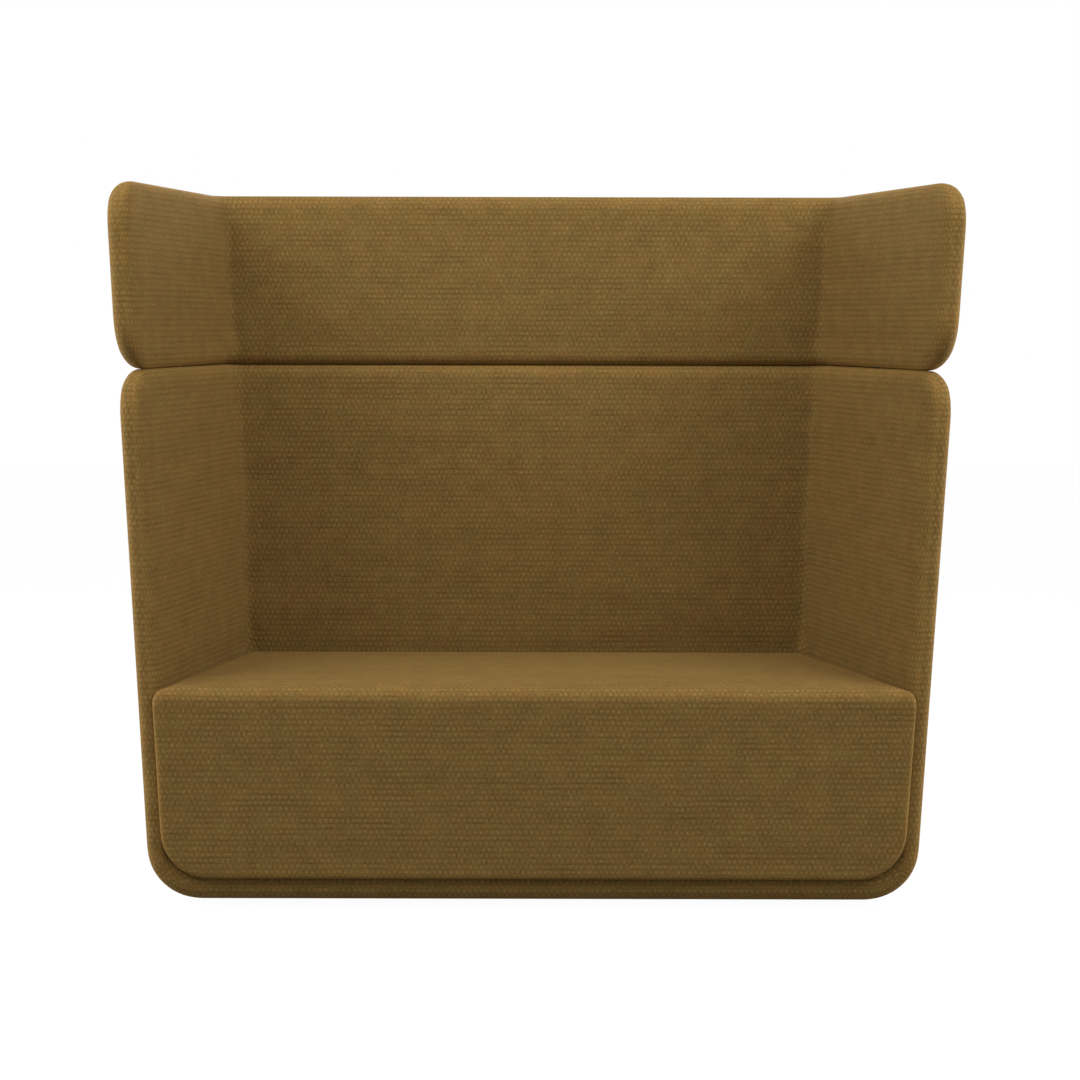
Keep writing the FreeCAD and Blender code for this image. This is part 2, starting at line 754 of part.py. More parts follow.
def seat_box_room():
    """The room below the padding that the box fills, so that the cover stays outside the boards."""
    return tub(BOX_OUT - BOX_GAP, BOX_FRONT, 0.0, FOAM_BOTTOM)


def build_seat():
    front = BOX_FRONT + PLYWOOD
    save("seat_front_board", box_front_board())
    save("seat_rear_board", back_slab(BOX_OUT, BOX_IN, BOX_OUT, BOARD_TOP, BOX_TOP))
    for name, hand in (("left", -1), ("right", 1)):
        save("seat_" + name + "_board", side_slab(hand, BOX_OUT, BOX_IN, front, BOX_IN, BOARD_TOP, BOX_TOP))
    save("seat_centre_board", box_centre_board())
    save("seat_corner_blocks", one(corner_blocks()))
    save("seat_belts", one(seat_belts()))
    save("cross_belts", one(cross_belts()))
    save("seat_angles", one(seat_angles()))
    padding = seat_body(COVER, FRONT + COVER)
    wide = 2 * BACK_WIDTH
    upper = box(-wide, wide, 2 * FRONT, -2 * FRONT, FOAM_BOTTOM, COLLAR_TOP)
    apron = box(-wide, wide, 2 * FRONT, BOX_FRONT, 0.0, FOAM_BOTTOM)
    below = box(-wide, wide, BOX_FRONT - COVER, -2 * FRONT, 0.0, FOAM_BOTTOM - SKIRT_DROP)
    save("seat_foam", padding.common(upper))
    save("seat_front_foam", padding.common(apron))
    cover = seat_body(0.0, lip_back()).fuse(seat_lip()).removeSplitter()
    save("seat_cover", cover.cut(padding).cut(below).cut(seat_box_room()))


def main():
    os.makedirs("parts", exist_ok=True)
    build_base()
    build_shell_frame()
    build_shell_padding()
    build_collar()
    build_seat()


main()
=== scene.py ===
import json
import math

import bmesh
import bpy
import numpy as np
from bpy.props import FloatProperty, FloatVectorProperty, IntProperty, PointerProperty
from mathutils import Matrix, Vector

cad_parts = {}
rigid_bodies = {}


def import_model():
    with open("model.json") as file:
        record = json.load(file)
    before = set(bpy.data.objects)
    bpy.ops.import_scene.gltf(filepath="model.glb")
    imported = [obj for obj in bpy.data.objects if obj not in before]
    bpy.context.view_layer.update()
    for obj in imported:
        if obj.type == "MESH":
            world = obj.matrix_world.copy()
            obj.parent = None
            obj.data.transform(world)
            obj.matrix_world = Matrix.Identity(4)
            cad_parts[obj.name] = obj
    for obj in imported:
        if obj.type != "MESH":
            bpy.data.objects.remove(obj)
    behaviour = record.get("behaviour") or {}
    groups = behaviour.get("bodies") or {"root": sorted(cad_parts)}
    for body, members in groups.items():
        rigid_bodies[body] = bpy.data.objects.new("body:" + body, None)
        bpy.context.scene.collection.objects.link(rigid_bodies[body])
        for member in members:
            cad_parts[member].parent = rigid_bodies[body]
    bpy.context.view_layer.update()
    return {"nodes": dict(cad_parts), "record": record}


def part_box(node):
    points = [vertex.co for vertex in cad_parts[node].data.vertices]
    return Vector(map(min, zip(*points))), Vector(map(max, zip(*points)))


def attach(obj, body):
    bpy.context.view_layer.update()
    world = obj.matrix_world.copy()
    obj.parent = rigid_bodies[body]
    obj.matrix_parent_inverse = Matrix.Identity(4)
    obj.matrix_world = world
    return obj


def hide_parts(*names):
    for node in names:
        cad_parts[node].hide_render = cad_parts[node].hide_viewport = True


bl_info = {
    "name": "High-back sofa",
    "version": (1, 0, 0),
    "blender": (4, 5, 0),
    "location": "3D View > Sidebar > Sofa",
    "description": "Upholstery, finishes and studio for a high-back two-seat sofa",
    "category": "Object",
}

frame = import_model()
SHELL_LOW, SHELL_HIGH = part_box("shell_cover")
COLLAR_LOW, COLLAR_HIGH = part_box("collar_cover")
SEAT_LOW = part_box("seat_cover")[0]
DUST_LOW, DUST_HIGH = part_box("dust_cover")
BODY = "sofa"
UV_NAME = "cloth"
# Attribute that holds the mask of the painted highlight on convex edges
HIGHLIGHT_MASK_NAME = "edge"

# Amounts that count as nothing: for welding, for lengths and for squared lengths
WELD = 2e-5
TINY = 1e-9
TINY_SQUARE = 1e-12

# Mesh of shell and collar: lengths of its runs and steps in metres, and counts of steps
SIDE_RUN = 0.46
HALF_BACK_RUN = 0.62
WALL_RUN = 0.84
FLOOR_RUN = 0.56
RIM_STEP = 0.008
TURN_STEPS = 7
HEM_STEPS = 2
MITRE_STEPS = 3
HEM_OVERLAP = 0.007
TIP_BLEND = (0.4, 1.0)
# Passes that spread the mask of the painted highlight on edges
HIGHLIGHT_SPREAD = 2

# Mesh of the seat: steps and distances in metres, and the count of lines round an edge
CORNER_STEP = 0.014
ROLL_STEP = 0.010
ROLL_REACH = 0.05
EDGE_LINES = 5
LIP_STEP = 0.006
RIM_CLEARANCE = 0.0005
CLEARANCE_STEP = 0.002
RIM_TURN_STEP = 0.005
LOWER_FADE = 0.15
UPPER_FADE = 0.16

# Where the cloth may settle: heights, distances from rims, and depths from the outer faces
HEM_LEVELS = (0.05, 0.16)
SHELL_TOP_FADE = (0.09, 0.03)
COLLAR_LOW_FADE = (0.03, 0.09)
COLLAR_TOP_FADE = (0.07, 0.02)
FRONT_FADE = 0.06
SEAT_ROOM_DEPTH = 0.05
SEAT_ROOM_TOP = 0.46
SEAT_TOP_LEVELS = (0.40, 0.415)
SEAT_FRONT_FADE = 0.05
SEAT_REAR_DEPTHS = (0.15, 0.075)
SEAT_SIDE_DEPTHS = (0.16, 0.07)

# Noises of the cloth: features in a metre, and detail
WANDER = (8.0, 2.0)
MOTTLE = (21.0, 2.0)
PATCH = (24.0, 3.0)
GRAIN = (190.0, 2.0)
FUZZ = (520.0, 3.0)

# Stretched noises of the cloth: features along both coordinates, the noise's own layer, and detail
DRIFT = (5.0, 5.0, 4.0, 2.0)
STREAK = (9.0, 3.7, 6.0, 1.0)
SLUB = (2.0, 15.0, 2.0, 3.0)

# Shares in the cloth: what is always there, what differs by stitch, and what comes in streaks
LEVEL_GROOVE = (0.06, 0.26, 0.42)
UPRIGHT_GROOVE = (0.08, 0.50)
STITCH_LIGHT = (0.2, 0.6)
OCHRE_SHARE = 0.6
ROW_WANDER = 0.3
COLUMN_DRIFT = 0.8

# Shade and height of the cloth: how much each pattern adds
SHADE = {"even": 0.13, "fuzz": 0.26, "grain": 0.86, "slub": 0.24, "mottle": 0.38}
HEIGHT = {"stitch": 0.4, "ridge": 0.7, "grain": 0.5, "fuzz": 0.25}

# Staples of the dust cover, in metres
STAPLE = {"Spacing": 0.045, "Width": 0.010, "Wire": 0.0006}
STAPLE_HEIGHT = 0.0016
STAPLE_BEND = 0.0006
STAPLE_INSET = 0.012
STAPLE_DROP = 0.0003
WIRE_SIDES = 6

# Studio: half the floor's width, and each lamp's name, power, size, place and target
FLOOR_REACH = 14.0
SEAT_MIDDLE = (0.0, -0.25, 0.4)
LAMPS = (
    ("top_light", "top_power", (3.4, 2.6), (0.0, -1.0, 3.6), (0.0, 0.0, 0.0)),
    ("left_light", "side_power", (2.4, 2.0), (-3.0, -2.0, 3.4), SEAT_MIDDLE),
    ("left_light_rim", "rim_power", (1.6, 1.6), (-3.6, 0.55, 1.0), (-0.7, -0.2, 0.8)),
    ("right_light", "side_power", (2.4, 2.0), (3.0, -2.0, 3.4), SEAT_MIDDLE),
    ("right_light_rim", "rim_power", (1.6, 1.6), (3.6, 0.55, 1.0), (0.7, -0.2, 0.8)),
    ("rear_light", "rear_power", (3.0, 2.0), (0.0, 4.0, 2.4), SEAT_MIDDLE),
)


def length(name, default, description):
    return FloatProperty(name=name, description=description, default=default, subtype="DISTANCE",
                         unit="LENGTH", precision=4)


def angle(name, degrees, description):
    return FloatProperty(name=name, description=description, default=math.radians(degrees),
                         subtype="ANGLE", unit="ROTATION")


def colour(name, default, description):
    return FloatVectorProperty(name=name, description=description, default=default, size=3,
                               subtype="COLOR", min=0.0, max=1.0)


def number(name, default, description):
    return FloatProperty(name=name, description=description, default=default)


class SofaWalls(bpy.types.PropertyGroup):
    """Sizes of the padded walls that shell and collar share."""
    seat_height: length("Seat height", 0.418, "Height at which the back's width and depth are given")
    seat_depth: length("Seat depth", 0.567, "From the seat's front face to the back's inner face")
    back_width: length("Back width", 1.203, "Between the side walls at the back, at seat height")
    thickness: length("Wall", 0.062, "Thickness of the padded walls")
    splay: angle("Splay", 11.5, "How far the shell's sides open towards the front")
    collar_splay: angle("Collar splay", 10.4, "How far the collar's wings open towards the front")
    collar_ease: length("Collar ease", 0.012, "How far the collar's rear corners lie outside the shell's")
    flare: angle("Flare", 2.2, "How far the sides lean out as they rise")
    lean: angle("Lean", 4.0, "How far the back leans backwards")
    edge_radius: length("Edge radius", 0.028, "Rounding of the rims, on both sides")
    outer_corner: length("Outer corner", 0.060, "Radius of the upright rear corners outside")
    inner_corner: length("Inner corner", 0.028, "Radius of the upright rear corners inside")
    bottom_radius: length("Bottom radius", 0.097, "Rounding under the side walls")
    rear_bottom_radius: length("Rear bottom radius", 0.024, "Rounding under the back wall")
    shell_tip: length("Shell tip", 0.086, "Radius of the shell's upper front corners")
    wing_top: length("Wing top", 0.080, "Radius of the wings' upper front corners")
    wing_bottom: length("Wing bottom", 0.098, "Radius of the wings' lower front corners")
    front_thinning: number("Front thinning", 0.5, "Share of the inner padding that is lost at the front rim")
    seam_press: length("Seam press", 0.003, "How far shell and collar are pressed flat at their seam")
    rim_forward: length("Rim forward", 0.006, "How far the padded rim bulges before its nominal place")
    rim_depth: length("Rim depth", 0.072, "How far the shell's front rim reaches under the seat")
    side_hem: length("Side hem", 0.112, "From the outer face to the hem under the sides")
    rear_hem: length("Rear hem", 0.045, "From the outer face to the hem under the back")
    mesh_step: length("Mesh step", 0.024, "Spacing of the cloth's mesh before it is subdivided")


class SofaSeat(bpy.types.PropertyGroup):
    """Sizes of the seat block."""
    reveal: length("Reveal", 0.0385, "Width of the shell's rim that shows beside the seat's front")
    lip_edge: length("Front edge radius", 0.010, "Rounding of the seat's front face at its sides and below")
    front_inset: length("Front inset", 0.006, "How far the padded front lies behind the cover's own front")
    top_height: length("Top height", 0.4345, "Height of the seat's top behind its front roll")
    front_roll: length("Front roll", 0.027, "Radius of the roll between the seat's top and its front face")
    lip_corner: length("Lower corner radius", 0.090, "Radius of the front face's lower corners")
    top_corner: length("Upper corner radius", 0.020, "Radius of the front face's upper corners")
    lip_depth: length("Lip depth", 0.024, "How far behind the front the seat's crown starts")
    lip_rise: length("Lip rise", 0.059, "Height of the front face's lower edge")
    wall_gap: length("Wall gap", 0.003, "Between the seat and the shell's inner faces")
    rear_edge: length("Rear edge radius", 0.016, "Rounding of the seat's rear edges")
    crown: length("Crown", 0.003, "Rise of the seat's middle above its edges")
    rear_rise: length("Rear rise", -0.0035, "Rise of the seat from its front to its rear")


class SofaCloth(bpy.types.PropertyGroup):
    """The ribbed upholstery cloth."""
    rib: length("Rib", 0.0113, "Height of one woven rib")
    tick: length("Tick", 0.0108, "Width of one upright stitch of the weave")
    relief: length("Relief", 0.0007, "Depth of the grooves between the ribs")
    ochre: colour("Ochre", (0.205, 0.122, 0.032), "The cloth's main colour")
    tick_light: colour("Tick colour", (0.275, 0.172, 0.056), "The raised yarn's colour")
    groove: colour("Groove colour", (0.130, 0.072, 0.016), "The colour between the ribs")
    sheen: colour("Sheen", (0.85, 0.50, 0.14), "The glow of the cloth's fuzz at a flat angle")
    russet: colour("Russet", (0.215, 0.108, 0.030), "The warmer patches")
    olive: colour("Olive", (0.180, 0.128, 0.034), "The greener patches")
    # Painted highlight: how much lighter the cloth is made on convex edges, where light would catch it
    painted_edge_highlight: colour("Painted edge highlight", (0.20, 0.155, 0.06), "How much lighter the cloth is on rubbed edges")
    # Radius of an edge that gets the full painted highlight
    tight_radius: length("Tight radius", 0.014, "Radius of an edge that is rubbed the most")
    pressure: number("Pressure", 4.0, "How hard the padding presses on the cloth")
    stiffness: number("Stiffness", 40.0, "How hard the cloth is to stretch and to squeeze")
    bending: number("Bending", 2.0, "How hard the cloth is to bend")
    give: length("Give", 0.004, "How far the cloth settles at most")
    frames: IntProperty(name="Frames", description="Steps that the cloth settles for", default=20)


class SofaFinishes(bpy.types.PropertyGroup):
    """Colours of the pieces that aren't upholstered."""
    plywood: colour("Plywood", (0.52, 0.36, 0.19), "Boards and panels")
    webbing: colour("Webbing", (0.045, 0.042, 0.040), "Elastic belts")
    webbing_stripe: colour("Webbing stripe", (0.36, 0.31, 0.22), "Stripes along the belts")
    dust_cloth: colour("Dust cloth", (0.018, 0.018, 0.019), "Cover under the base")
    plastic: colour("Glide plastic", (0.022, 0.022, 0.024), "The glides' feet")
    black_steel: colour("Black steel", (0.030, 0.030, 0.032), "Posts, sleeves and brackets")
    zinc: colour("Zinc", (0.62, 0.63, 0.62), "Stems, nuts and angles")


class SofaStage(bpy.types.PropertyGroup):
    """Studio light, floor and camera."""
    sky: number("Sky light", 0.228, "Strength of the even light all round")
    top_power: number("Top light", 39.0, "Power of the large lamp overhead, in watts")
    side_power: number("Side lights", 90.0, "Power of each of the two lamps at the sides, in watts")
    rear_power: number("Rear light", 60.0, "Power of the lamp behind the sofa, in watts")
    rim_power: number("Rim lights", 75.0, "Power of each of the two lamps for the outer rims, in watts")
    floor: colour("Floor", (0.25, 0.25, 0.25), "The floor's own colour")
    floor_light: number("Floor light", 0.16, "Brightness of the open floor under the lamps")
    shadow_share: number("Shadow share", 0.20, "How much of the floor's own shading shows")
    camera_x: length("Camera X", -0.1686, "Camera's place along the seat")
    camera_y: length("Camera Y", -4.942, "Camera's place in front of the sofa")
    camera_z: length("Camera Z", 1.143, "Camera's height")
    camera_pitch: angle("Camera pitch", 5.225, "How far the camera looks down")
    camera_roll: angle("Camera roll", -0.14, "How far the camera is tilted sideways")
    lens: number("Lens", 80.3, "Focal length in millimetres")
    shift_x: number("Shift", 0.0851, "Sideways shift of the picture")


def ramp(value, low, high):
    """Rises smoothly from 0 at low to 1 at high."""
    share = np.clip((value - low) / (high - low), 0, 1)
    return share * share * (3 - 2 * share)


class Walls:
    """The planes that the padded walls follow; depth is measured inwards, square to the outer face."""

    def __init__(self, sizes, splay=None, ease=0.0):
        self.sizes = sizes
        self.front = SEAT_LOW.y
        self.rim_y = SHELL_LOW.y - sizes.rim_forward
        self.splay_angle = sizes.splay if splay is None else splay
        self.splay = math.tan(self.splay_angle)
        self.half_width = sizes.back_width / 2 + ease
        self.flare = math.tan(sizes.flare)
        self.lean = math.tan(sizes.lean)
        self.thickness = sizes.thickness
        self.back_stretch = math.hypot(1.0, self.lean)
        rise = self.flare + self.lean * self.splay
        self.side_stretch = math.sqrt(1.0 + self.splay ** 2 + rise ** 2)
        self.side_plan = self.side_stretch * math.cos(self.splay_angle)
        self.rim_flat = sizes.thickness / 2 - sizes.edge_radius
        self.rim_cloth = self.rim_flat + sizes.edge_radius * math.pi / 2
        self.rim_spare = self.rim_cloth - sizes.edge_radius

    def back_y(self, z, depth):
        inner = self.front + self.sizes.seat_depth + self.lean * (z - self.sizes.seat_height)
        return inner + (self.thickness - depth) * self.back_stretch

    def side_x(self, y, z, depth):
        inner = self.half_width + self.flare * (z - self.sizes.seat_height)
        inner = inner + self.splay * (self.back_y(z, self.thickness) - y)
        return inner + (self.thickness - depth) * self.side_stretch

    def rim_profile(self, cloth):
        """Distance from the rim and half thickness, at a distance along the cloth from the rim's middle."""
        radius = self.sizes.edge_radius
        turn = np.clip((cloth - self.rim_flat) / radius, 0, math.pi / 2)
        inset = radius * (1 - np.cos(turn)) + np.maximum(cloth - self.rim_cloth, 0)
        half = np.minimum(cloth, self.rim_flat) + radius * np.sin(turn)
        return inset, half

    def padding(self, side, along_side):
        """Share of half the thickness: the inner face draws near to the outer one towards the front rim."""
        return 1 - self.sizes.front_thinning * (1 - along_side) * (side > 0)

    def inner_depth(self, reach, padding=1.0):
        """Depth of the inner face at a distance behind the rim; 0 before the rim."""
        radius = self.sizes.edge_radius
        short = radius - np.clip(reach, 0, radius)
        half = self.rim_flat + np.sqrt(radius ** 2 - short ** 2)
        return np.where(reach < 0, 0, self.thickness / 2 + half * padding)

    def rim_corner(self, from_front, from_level, tip):
        """Bends flat cloth over two rims that meet in a rounded tip.

        Takes distances on the cloth from both rims, and gives the real distances from them, half the
        thickness there, and how far the cloth runs on past them, because it bends round the edge.
        """
        reach = tip + self.rim_spare
        front = np.maximum(reach - from_front, 0)
        level = np.maximum(reach - from_level, 0)
        most = np.maximum(front, level)
        size = np.hypot(front, level)
        size = np.where(size > 0, size, 1)
        inset, half = self.rim_profile(reach - most)
        radius = tip - inset
        lift = inset + self.rim_spare - (reach - most)
        front, level = front / size, level / size
        real = (tip - front * radius + np.maximum(from_front - reach, 0),
                tip - level * radius + np.maximum(from_level - reach, 0))
        return real, half, (lift * ramp(front, *TIP_BLEND), lift * ramp(level, *TIP_BLEND))

    def point(self, front, reach, columns, z, depth):
        """Points of a wall at one depth, from its front rim along the side to the middle of the back."""
        radius = self.sizes.outer_corner
        radius = radius + (self.sizes.inner_corner - radius) * depth / self.thickness
        centre_y = self.back_y(z, depth + radius)
        centre_x = self.side_x(centre_y, z, depth + radius)
        turn = self.splay_angle + columns.turn * (math.pi / 2 - self.splay_angle)
        stretch = self.side_plan + (self.back_stretch - self.side_plan) * columns.turn
        tangent_y = centre_y + radius * self.side_plan * math.sin(self.splay_angle)
        side_y = front + reach + columns.side * (tangent_y - front - reach)
        on_side = columns.turn == 0
        x = np.where(on_side, self.side_x(side_y, z, depth),
                     (centre_x + radius * stretch * np.cos(turn)) * (1 - columns.back))
        y = np.where(on_side, side_y, centre_y + radius * stretch * np.sin(turn))
        return np.stack(np.broadcast_arrays(x, y, z), axis=-1)


def chain(start, *stretches):
    """Grid lines from a start through several ends, each stretch with about its own step."""
    places = [start]
    for end, step in stretches:
        count = max(1, round(abs(end - places[-1]) / step))
        places += list(np.linspace(places[-1], end, count + 1)[1:])
    return np.array(places)


def padded_lines(values, before, after):
    """Grid lines with their first value held before them and their last one after them."""
    return np.concatenate([np.full(before, values[0]), values, np.full(after, values[-1])])


def rim_lines(walls, *stretches):
    """Grid lines from the middle of a rim over its edge, and on through further stretches."""
    return chain(0.0, (walls.rim_flat, walls.rim_flat), (walls.rim_cloth, RIM_STEP), *stretches)


def grid_runs(rim, counts):
    """Grid lines over a rim and on through runs that each go from 0 to 1 in a count of steps.

    Gives the rim's distances and each run's share on all lines, and the line at which each of them ends.
    """
    total = len(rim) + sum(counts)
    parts, ends = [padded_lines(rim, 0, total - len(rim))], [len(rim)]
    for count in counts:
        start = ends[-1]
        parts.append(padded_lines(np.linspace(0, 1, count + 1), start - 1, total - start - count))
        ends.append(start + count)
    return parts, ends


class Columns:
    """Upright grid lines of half a wall: front rim, side, rear corner, half of the back."""

    def __init__(self, walls, stretches, step):
        rim = rim_lines(walls, *stretches)
        counts = (round(SIDE_RUN / step), TURN_STEPS, round(HALF_BACK_RUN / step))
        parts, _ = grid_runs(rim, counts)
        self.rim_count = len(rim)
        self.from_front, self.side, self.turn, self.back = [part[:, None] for part in parts]

    def index(self, distance):
        """The rim line at a distance along the cloth."""
        return int(np.argmin(np.abs(self.from_front[:self.rim_count, 0] - distance)))


def run_lengths(points):
    """Distance along a row of points from its first one."""
    steps = np.linalg.norm(np.diff(points, axis=0), axis=1)
    return np.concatenate([[0.0], np.cumsum(steps)])


def cloth_across(columns, points, row, reach, lift):
    """Cloth coordinate along a wall, counted from the middle of the back."""
    run = run_lengths(points[::-1, row])[::-1]
    across = np.broadcast_to(run[:, None], lift.shape).copy()
    rim = columns.rim_count
    across[:rim] = run[rim - 1] + reach.max() - reach[:rim] + lift[:rim]
    return across


def both_hands(points, across, along):
    """A grid of the right half and its mirror image, each with its cloth coordinates."""
    mirror = points * np.array([-1.0, 1.0, 1.0])
    return [(points, np.stack([across, along], axis=-1)), (mirror, np.stack([-across, along], axis=-1))]


def mesh_piece(name, grids):
    """One closed mesh from grids of points whose borders meet."""
    corners, faces, coordinates = [], [], []
    start = 0
    for points, cloth in grids:
        rows, columns = points.shape[:2]
        numbers = start + np.arange(rows * columns).reshape(rows, columns)
        quads = np.stack([numbers[:-1, :-1], numbers[1:, :-1], numbers[1:, 1:], numbers[:-1, 1:]], axis=-1)
        corners.append(points.reshape(-1, 3))
        faces.append(quads.reshape(-1, 4))
        coordinates.append(cloth.reshape(-1, 2))
        start += rows * columns
    corners = np.concatenate(corners)
    faces = np.concatenate(faces)
    coordinates = np.concatenate(coordinates)
    mesh = bpy.data.meshes.new(name)
    mesh.from_pydata(corners.tolist(), [], faces.tolist())
    layer = mesh.uv_layers.new(name=UV_NAME)
    layer.data.foreach_set("uv", coordinates[faces.ravel()].astype(np.float32).ravel())
    work = bmesh.new()
    work.from_mesh(mesh)
    bmesh.ops.remove_doubles(work, verts=work.verts, dist=WELD)
    bmesh.ops.dissolve_degenerate(work, edges=work.edges, dist=WELD)
    bmesh.ops.recalc_face_normals(work, faces=work.faces)
    work.to_mesh(mesh)
    work.free()
    for polygon in mesh.polygons:
        polygon.use_smooth = True
    piece = bpy.data.objects.new(name, mesh)
    bpy.context.scene.collection.objects.link(piece)
    return piece


def places_of(mesh):
    flat = np.empty(len(mesh.vertices) * 3, np.float32)
    mesh.vertices.foreach_get("co", flat)
    return flat.reshape(-1, 3).astype(float)


def settle(piece, softness, cloth):
    """Lets the padding press the cloth outwards for some frames, and limits how far each point moves."""
    rest = places_of(piece.data)
    group = piece.vertex_groups.new(name="held")
    for index, soft in enumerate(softness):
        group.add([index], float(1 - soft), "REPLACE")
    modifier = piece.modifiers.new("Padding", "CLOTH")
    settings = modifier.settings
    settings.vertex_group_mass = group.name
    settings.use_pressure = True
    settings.uniform_pressure_force = cloth.pressure
    settings.effector_weights.gravity = 0.0
    settings.tension_stiffness = cloth.stiffness
    settings.compression_stiffness = cloth.stiffness
    settings.bending_stiffness = cloth.bending
    scene = bpy.context.scene
    modifier.point_cache.frame_start = 1
    modifier.point_cache.frame_end = cloth.frames
    for step in range(1, cloth.frames + 1):
        scene.frame_set(step)
    evaluated = piece.evaluated_get(bpy.context.evaluated_depsgraph_get())
    moved = places_of(evaluated.data) - rest
    piece.modifiers.remove(modifier)
    piece.vertex_groups.remove(group)
    scene.frame_set(1)
    travel = np.linalg.norm(moved, axis=1, keepdims=True)
    travel = np.where(travel > TINY, travel, 1.0)
    moved = moved / travel * cloth.give * np.tanh(travel / cloth.give) * softness[:, None]
    piece.data.vertices.foreach_set("co", (rest + moved).astype(np.float32).ravel())
    piece.data.update()


def mark_highlight_edges(mesh, tight_radius):
    """Notes how sharply the cloth bends outwards, as the mask of the painted highlight on edges: 0 where it
    is flat, 1 on an edge of the tight radius.
    """
    places = places_of(mesh)
    count = len(places)
    normals = np.empty(count * 3, np.float32)
    mesh.vertices.foreach_get("normal", normals)
    normals = normals.reshape(-1, 3)
    pairs = np.empty(len(mesh.edges) * 2, np.int32)
    mesh.edges.foreach_get("vertices", pairs)
    first, second = pairs.reshape(-1, 2).T
    step = places[second] - places[first]
    bend = ((normals[second] - normals[first]) * step).sum(1) / np.maximum((step ** 2).sum(1), TINY_SQUARE)
    neighbours = np.bincount(first, minlength=count) + np.bincount(second, minlength=count)
    value = (np.bincount(first, bend, count) + np.bincount(second, bend, count)) / neighbours
    for _ in range(HIGHLIGHT_SPREAD):
        around = np.bincount(first, value[second], count) + np.bincount(second, value[first], count)
        value = (value + around) / (1 + neighbours)
    layer = mesh.attributes.new(HIGHLIGHT_MASK_NAME, "FLOAT", "POINT")
    layer.data.foreach_set("value", np.clip(value * 2 * tight_radius, 0, 1).astype(np.float32))


def make_padded(name, grids, softness, nodes):
    """Makes a padded piece: lets its cloth settle, smooths it and puts it in the place of its solids."""
    scene = bpy.context.scene
    piece = mesh_piece(name, grids)
    x, y, z = places_of(piece.data).T
    settle(piece, softness(np.abs(x), y, z), scene.sofa_cloth)
    smooth = piece.modifiers.new("Smooth", "SUBSURF")
    smooth.levels = 1
    smooth.render_levels = 1
    evaluated = piece.evaluated_get(bpy.context.evaluated_depsgraph_get())
    mesh = bpy.data.meshes.new_from_object(evaluated)
    piece.modifiers.remove(smooth)
    piece.data = mesh
    mesh.name = piece.name
    mesh.materials.clear()
    mesh.materials.append(material_for(scene, "upholstery"))
    # Mask of the painted highlight on convex edges
    mark_highlight_edges(mesh, scene.sofa_cloth.tight_radius)
    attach(piece, BODY)
    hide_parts(*nodes)


def seam_level():
    """Height at which collar and shell press on each other."""
    return (SHELL_HIGH.z + COLLAR_LOW.z) / 2


def collar_grids(walls):
    """The collar: a band over the whole U, with rims above and below and rounded wing tips."""
    sizes = walls.sizes
    step = sizes.mesh_step
    reach = max(sizes.wing_top, sizes.wing_bottom) + walls.rim_spare
    columns = Columns(walls, [(reach, step)], step)
    middle = (COLLAR_HIGH.z - COLLAR_LOW.z) / 2 + walls.rim_spare
    lines = rim_lines(walls, (middle, step))[None, :]
    low_lines = lines[:, -2::-1]
    real, half, lift = walls.rim_corner(columns.from_front, lines, sizes.wing_top)
    low_real, low_half, low_lift = walls.rim_corner(columns.from_front, low_lines, sizes.wing_bottom)
    reach_real = np.concatenate([real[0], low_real[0]], axis=1)
    reach_real = np.minimum(reach_real, reach - walls.rim_spare)
    low_z = COLLAR_LOW.z - sizes.seam_press + low_real[1]
    z = np.concatenate([COLLAR_HIGH.z - real[1], low_z], axis=1)
    half = np.concatenate([half, low_half], axis=1)
    lift_front = np.concatenate([lift[0], low_lift[0]], axis=1)
    along = np.concatenate([COLLAR_HIGH.z - real[1] + lift[1], low_z - low_lift[1]], axis=1)
    z = np.maximum(z, seam_level())
    grids = []
    for side in (-1, 1):
        depth = walls.thickness / 2 + side * half * walls.padding(side, columns.side)
        points = walls.point(COLLAR_LOW.y, reach_real, columns, z, depth)
        across = cloth_across(columns, points, lines.size - 1, reach_real, lift_front)
        grids += both_hands(points, across, along)
    return grids


def shell_rows(walls, step):
    """Grid lines down half a shell: top rim, wall, turn under, hem, and on to the middle of the floor."""
    rim = rim_lines(walls, (walls.sizes.shell_tip + walls.rim_spare, step))
    counts = (round(WALL_RUN / step), TURN_STEPS, HEM_STEPS, round(FLOOR_RUN / step))
    parts, ends = grid_runs(rim, counts)
    return [part[None, :] for part in parts], ends


def grid_patch(face, some_columns, some_rows, turned=False):
    """Both hands of a part of one face's grid; its cloth may be turned by a right angle."""
    points, across, along = [part[some_columns, some_rows] for part in face]
    return both_hands(points, along, across) if turned else both_hands(points, across, along)


